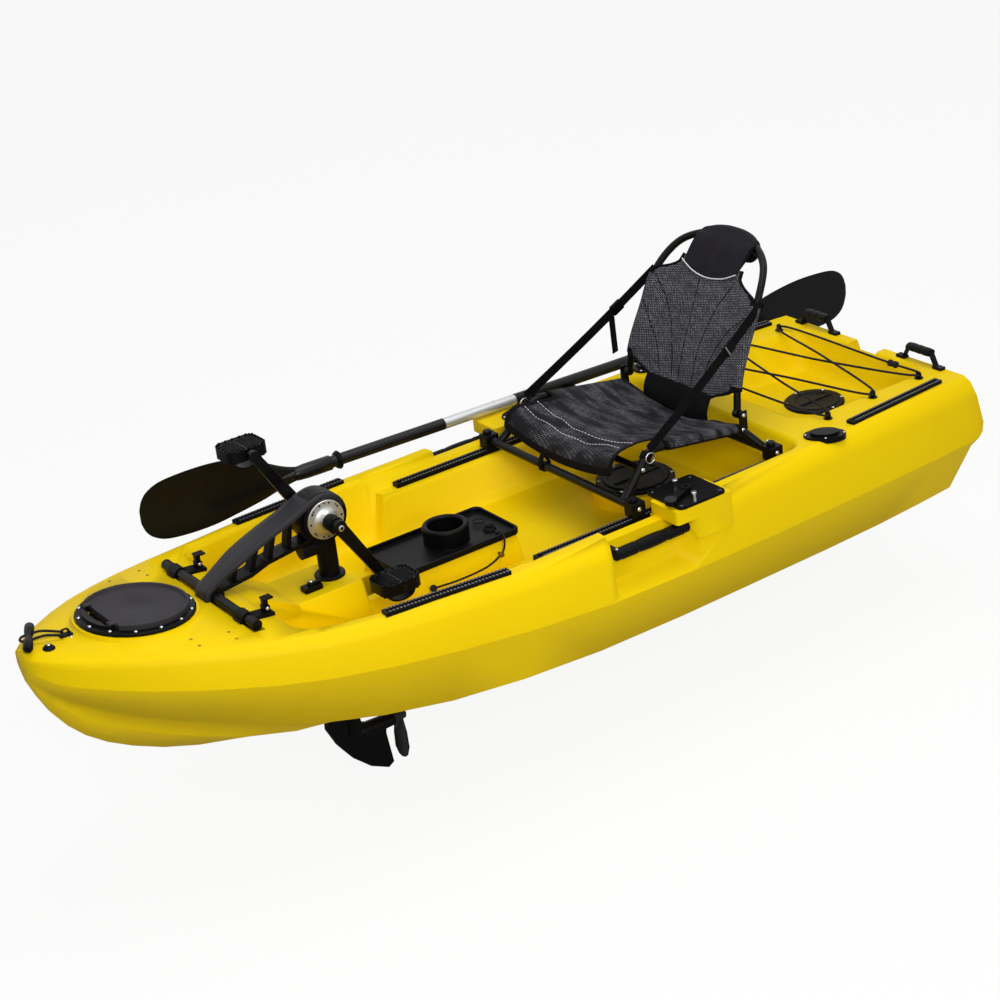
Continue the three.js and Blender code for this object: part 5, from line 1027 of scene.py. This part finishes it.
def back_line(rise):
    """The tube's middle this far up the back from the hinge, in millimetres, and which way the back faces there."""
    i = max(0, min(len(rise_at) - 2, sum(1 for r in rise_at if r <= rise) - 1))
    share = (rise - rise_at[i]) / max(1e-6, rise_at[i + 1] - rise_at[i])
    here = back_port[i].lerp(back_port[i + 1], share) / MM
    low, high = back_port[max(i - 2, 0)], back_port[min(i + 3, len(back_port) - 1)]
    up = Vector((high.x - low.x, 0, high.z - low.z)).normalized()
    return here, Vector((up.z, 0, -up.x))


# By the rise from the hinge: how deep the panel is dished, and half its width where it is cut away.
DISH = [(0, 0.3), (80, 1), (173, 1), (277, 0.7), (364, 0.2), (415, 0)]
BACK_CUT = [(0, 104), (14, 118), (26, 140), (40, 182), (54, 203)]
BACK_CUT += [(272, 199), (280, 186), (290, 152), (308, 117), (345, 109)]
SLEEVE_FROM, SLEEVE_TO = 54, 272


def back_place(rise, y, lift=0.0):
    """A point of the backrest's mesh, or lift millimetres in front of it, in millimetres."""
    here, out = back_line(rise)
    dish = between(rise, DISH) * 18 * max(0.0, 1 - (y / here.y) ** 2)
    fold = noise.noise(Vector((y / 34, rise / 120, 9))) * 2.4 * max(0.0, 1 - (y / here.y) ** 4)
    return Vector((here.x, y, here.z)) + out * (12.0 - dish + fold + lift)


# Its rows are rises, and its columns run as the seat's do.
back_rows = [4 + 10 * i for i in range(5)] + [54 + 10.9 * i for i in range(21)] + [278, 286, 294, 303, 312, 322, 333]
BACK_SLEEVE, BACK_TURNS = 11.8, [-65, -34, -3, 28, 59]
BACK_STEPS = [1 - 2 * i / 32 for i in range(33)]
back_columns = 2 * len(BACK_TURNS) + len(BACK_STEPS)
LEFT, RIGHT = len(BACK_TURNS), len(BACK_TURNS) + len(BACK_STEPS) - 2
FIRST, LAST = 5, 24  # the rows of faces whose sleeves go round the tube


def half_at(rise):
    """Half the width of the panel this far up, in millimetres: to the tube, or to its cut-away edge."""
    tube = back_line(rise)[0].y
    return tube if SLEEVE_FROM <= rise <= SLEEVE_TO else min(tube, between(rise, BACK_CUT))


def back_cell(row, column):
    """A point of the backrest's mesh by row and column, with its UV, in metres."""
    rise = back_rows[row]
    here, out = back_line(rise)
    count = len(BACK_TURNS)
    if count <= column < count + len(BACK_STEPS):
        y = BACK_STEPS[column - count] * half_at(rise)
        return back_place(rise, y) * MM, (y * MM, rise * MM)
    side = 1 if column < count else -1
    turn = BACK_TURNS[column] if side > 0 else BACK_TURNS[2 * count + len(BACK_STEPS) - 1 - column]
    angle = math.radians(turn)
    spot = Vector((here.x, side * (here.y + BACK_SLEEVE * math.cos(angle)), here.z))
    spot += out * BACK_SLEEVE * math.sin(angle)
    wrapped = here.y + BACK_SLEEVE * math.radians(90 - turn)
    return spot * MM, (wrapped * side * MM, rise * MM)


def back_bound(row, column):
    """Whether a face of the backrest's cloth is black binding: its free edges and the sleeves' ends."""
    if LEFT <= column <= RIGHT:
        return column in (LEFT, RIGHT) and not FIRST < row < LAST
    return row in (FIRST, LAST) or column in (0, back_columns - 2)


back_sling = cloth_grid(
    "back_sling_cloth",
    len(back_rows),
    back_columns,
    back_cell,
    lambda row, column: FIRST <= row <= LAST or LEFT <= column <= RIGHT,
    back_bound,
    back_mesh,
    webbing,
    "backrest",
)
stands("back_sling")
# Painted shade: along each of these courses a thin dark cord of webbing lies on the panel as the shade in the pleat's
# crease.
PLEATS = [
    ((-40, 28), (-62, 110), (-110, 200), (-178, 262)),
    ((-14, 26), (-20, 130), (-24, 230), (-26, 300)),
    ((40, 24), (36, 120), (60, 220), (100, 292)),
    ((80, 28), (86, 90), (128, 180), (186, 232)),
    ((-84, 30), (-110, 90), (-160, 150), (-196, 190)),
]
for i, pleat in enumerate(PLEATS):
    course = curved([(y, rise, 0) for y, rise in pleat], per_run=6)
    points = [back_place(p.y / MM, p.x / MM, 0.6) * MM for p in course]
    pleat_shade_line = strung(f"back_pleat_shade_{i + 1}", [points], 1.3 * MM, webbing, "backrest")
foot_rows, top_rows = back_rows[: FIRST + 1], back_rows[LAST + 1 :]
hems = [
    [(half_at(rise), rise) for rise in reversed(foot_rows)] + [(-half_at(rise), rise) for rise in foot_rows],
    [(half_at(rise), rise) for rise in top_rows],
    [(-half_at(rise), rise) for rise in top_rows],
]
for i, hem in enumerate(hems):
    line = [back_place(rise, y) * MM for y, rise in hem]
    binding = strung(f"back_binding_{i + 1}", [line], 3.4 * MM, webbing, "backrest")

# Backrest cap
# A lightly padded hood of nylon pack cloth pulled down over the top of the arch, its front edge cut in
# a curve and piped in white.
CAP_HALF, CAP_TOP = 103, 392


def cap_foot(y):
    """How far up the back the hood's front edge is, at one place across it."""
    return 292 + 26 * (y / CAP_HALF) ** 2


def cap_ring(y):
    """The closed section of the hood at one place across the back, in metres."""
    share = y / CAP_HALF
    tube_top = min(arch_path, key=lambda p: abs(p.y / MM - y)) / MM
    middle = Vector((tube_top.x, y, tube_top.z))
    rises = [cap_foot(y) + (CAP_TOP - cap_foot(y)) * k / 6 for k in range(7)]
    pull = noise.noise(Vector((y / 20, 3, 1))) * 2.2
    front = [back_place(rise, y, 8.0 + pull * math.sin(k / 6 * math.pi)) for k, rise in enumerate(rises)]
    lining = [back_place(rise, y, 2.0) for rise in reversed(rises)]
    over, under = [], []
    for k in range(7):
        a = math.radians(28 + 172 * k / 6)
        way = Vector((math.cos(a), 0, math.sin(a)))
        over.append(middle + way * (17.5 - 2.5 * share * share))
        under.append(middle + way * 10.6)
    down = Vector((0.469, 0, -0.883))
    hem = 62 - 38 * share**4
    behind = [over[-1] + down * d + Vector((-1.5 * math.sin(d / 22), 0, 0)) for d in (0.3 * hem, 0.62 * hem, hem)]
    inner = [under[-1] + down * d for d in (hem, 0.62 * hem, 0.3 * hem)]
    return [p * MM for p in (*front, *over, *behind, *inner, *reversed(under), *lining)]


cap_rings = [cap_ring(CAP_HALF * (2 * i / 22 - 1)) for i in range(23)]
back_cap = drawn("back_cap_hood", cap_rings, pack_cloth, "backrest", smooth=70)
soft = back_cap.modifiers.new("smooth", "SUBSURF")
soft.levels = soft.render_levels = 1
stands("back_cap")
edge_line = [back_place(cap_foot(y) - 0.5, y, 8.6) * MM for y in (CAP_HALF * (2 * i / 30 - 1) for i in range(31))]
piping = strung("back_cap_piping", [edge_line], 1.7 * MM, white_thread, "backrest")

# Lumbar strip
# A strip of black webbing cloth from the after edge of the seat's mesh to the foot of the backrest's.
# It is sewn to both.


def strip_place(row, column):
    """A point of the strip, with its UV, in metres."""
    y = 126 - 252 * column / 24
    low = Vector((-544, y, sling_height(-544, y) + 3.5))
    high = back_place(22, y, 3.0)
    t = row / 8
    bulge = Vector((9, 0, -5)) * math.sin(t * math.pi)
    return (low.lerp(high, t) + bulge) * MM, (y * MM, t * 60 * MM)


strip = cloth_grid(
    "lumbar_strip", 9, 25, strip_place, lambda row, column: True, lambda row, column: False, webbing, webbing, None
)
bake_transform(strip)

# Backrest straps
# Two webbing straps from the shoulders of the backrest down to the knees of the seat tubes, each with
# a slider; the starboard one's spare end hangs down behind.
STRAP_TOP, STRAP_FOOT = Vector((-672, 207.5, 664)), Vector((-264, 250.5, 427))


def webbing_run(name, points, wide, lie, body):
    """Flat webbing, 2.4 mm thick, along points in millimetres, its width lying along lie."""
    rings = []
    for p, along in with_ways(points):
        across = (lie - along * lie.dot(along)).normalized()
        out = along.cross(across)
        corners = ((-1, -1), (1, -1), (1, 1), (-1, 1))
        rings.append([(p + across * a * wide / 2 + out * b * 1.2) * MM for a, b in corners])
    made = drawn(name, rings, webbing, body)
    return made


LOOP = [(11.6, -9), (14, -9), (14.4, -8), (14.4, 8), (14, 9), (11.6, 9), (11.6, -9)]
leg_way = (FRONT_END - KNEE).normalized()
on_leg = KNEE + leg_way * ((-262 - KNEE.x) / leg_way.x)
for side, word in ((1, "port"), (-1, "starboard")):
    top, foot = on_side(side, STRAP_TOP), on_side(side, STRAP_FOOT)
    along = (foot - top).normalized()
    across = Vector((0, 1, 0))
    run = [top.lerp(foot, k / 24) - UP * 5 * math.sin(k / 24 * math.pi) for k in range(25)]
    band = webbing_run(f"back_strap_{word}_webbing", run, 25, Vector((-along.z, 0, along.x)), None)
    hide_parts(f"back_strap_{word}")
    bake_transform(band)
    spot = top.lerp(foot, 0.3) - Vector((0, 0, 4))
    turn = Matrix((along, across, along.cross(across))).transposed().to_4x4()
    form = bmesh.new()
    block(form, (34, 8, 31), spot, turn)
    slider = piece(f"back_strap_slider_{word}", form, moulded_nylon, None)
    ease_edges(slider, 2.5, segments=3)
    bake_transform(slider)
    form = bmesh.new()
    block(form, (3, 3, 27), spot + along * 9 + Vector((0, 4.2 * side, 0)), turn)
    bar = piece(f"back_strap_bar_{word}", form, stainless_steel, None)
    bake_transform(bar)
    middle, way = on_side(side, on_leg), on_side(side, leg_way)
    turned(f"back_strap_loop_{word}", LOOP, middle, way, webbing, "seat")
    middle = middle + Vector((0, 16.5 * side, 0))
    round_ring(f"back_strap_ring_{word}", middle, 13, 1.7, across, 20, stainless_steel, "seat")
top, foot = on_side(-1, STRAP_TOP), on_side(-1, STRAP_FOOT)
tail_top = top.lerp(foot, 0.34)
tail_run = [tail_top + Vector((-2 - 3 * math.sin(k / 9), -5 - 1.5 * math.sin(k / 5), -4 - 8.6 * k)) for k in range(14)]
tail = webbing_run("back_strap_tail", tail_run, 23, Vector((1, 0.35, 0)), None)
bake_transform(tail)

# Seat keeper
# A loop of narrow webbing round the front crossbar, sewn to the seat's front edge at both ends. It
# holds the rolled edge down to the bar.
hang = sling_height(-170, -60)
keeper_run = [(-171, hang + 4), (-158, 331), (-161, 315), (-172, 311), (-183, 315), (-186, 331), (-176, hang - 2)]
webbing_run("seat_keeper_loop", [Vector((x, -60, z)) for x, z in keeper_run], 16, Vector((0, 1, 0)), "seat")

# Paddle
# A take-apart paddle clipped along the starboard gunwale: two moulded blades on black tubes, joined by
# a white anodised middle tube, with a rubber drip ring.
dressed("paddle_clip", moulded_nylon, ease=1.0)
# The paddle's own frame: x runs forward along its shaft, which rises 22 mm in each metre.
PADDLE = Matrix.Translation(mm(-250, -408, 355)) @ Matrix.Rotation(-math.atan(0.022), 4, "Y")
# Glass-filled nylon, moulded: black with a soft satin gloss.
satin_nylon = finish("moulded_glass_nylon", "#060607", "#0B0B0D", 0.33, 4, 0.1, gloss=0.25)
# Aluminium tube, drawn and anodised: nearly white, with a soft metallic sheen.
white_tube = finish("white_anodised_aluminium", "#C4C6C7", "#D6D8D9", 0.3, 2, 0.02, metallic=0.6)


def on_shaft(name, x, profiles, material):
    """A turned piece of the paddle: lines of (radius, height), in millimetres, from x along its shaft."""
    form = bmesh.new()
    for profile in profiles:
        spun(form, profile, mm(x, 0, 0), (1, 0, 0), steps=28)
    bmesh.ops.transform(form, matrix=PADDLE, verts=form.verts)
    bmesh.ops.recalc_face_normals(form, faces=form.faces)
    return piece(name, form, material, "paddle", smooth=50)


# The blade by shares of its length: its half width and half its thickness, in shares of these.
BLADE_HALF, BLADE_THICK = 80, 3.6
BLADE = [(0, 0.2, 1.9), (0.07, 0.24, 1.6), (0.16, 0.38, 1.3), (0.3, 0.68, 1.1), (0.45, 0.9, 0.95), (0.6, 1, 0.8)]
BLADE += [(0.75, 1, 0.7), (0.87, 0.93, 0.6), (0.94, 0.76, 0.55), (0.98, 0.52, 0.45), (1, 0.22, 0.35)]
blade_table = curved([(a * 1000, b * 1000, c * 1000) for a, b, c in BLADE], per_run=4)
for node, root, tip, rise, inner_end, taper in (
    ("paddle_front", 550, 1005, 24, 142.3, 90),
    ("paddle_rear", -790, -1245, -10, -80.3, -90),
):
    rings = []
    for along, wide, deep in blade_table:
        t = min(1.0, along / 0.5)
        middle = rise * t * t * (3 - 2 * t)
        ring = []
        for a in angles(20):
            up, out = wide * BLADE_HALF * math.cos(a), deep * BLADE_THICK * math.sin(a)
            cup = 5 * (up / BLADE_HALF) ** 2 * wide
            ring.append(PADDLE @ mm(root + (tip - root) * along, out + cup, middle + up))
        rings.append(ring)
    blade = drawn(f"{node}_blade", rings, satin_nylon, "paddle")
    line = [(0, inner_end), (15, inner_end), (15, root), (12.5, root + taper * 0.35)]
    line += [(5, root + taper), (0, root + taper)]
    shaft = on_shaft(f"{node}_shaft", inner_end, [[(r, x - inner_end) for r, x in line]], satin_nylon)
    for made in (blade, shaft):
        stands(node)
TUBE = [(0, 0), (14.5, 0), (14.5, 222), (0, 222)]
COLLAR = [(15.4, 60), (15.4, 62), (14.2, 62.5), (14.2, 59.5), (15.4, 60)]
middle_tube = on_shaft("paddle_middle_tube", -80, [TUBE, COLLAR], white_tube)
stands("paddle_middle")
DRIP = [(15.2, 0), (23, 0), (24, 1.5), (21, 8), (17, 10), (15.2, 10), (15.2, 0)]
on_shaft("paddle_drip_ring", 456, [DRIP], moulded_nylon)
FERRULE = [(14.8, 0), (18.5, 0), (19.2, 2), (19.2, 70), (17.5, 96), (14.8, 104), (14.8, 0)]
on_shaft("paddle_blade_sleeve", 482, [FERRULE], satin_nylon)
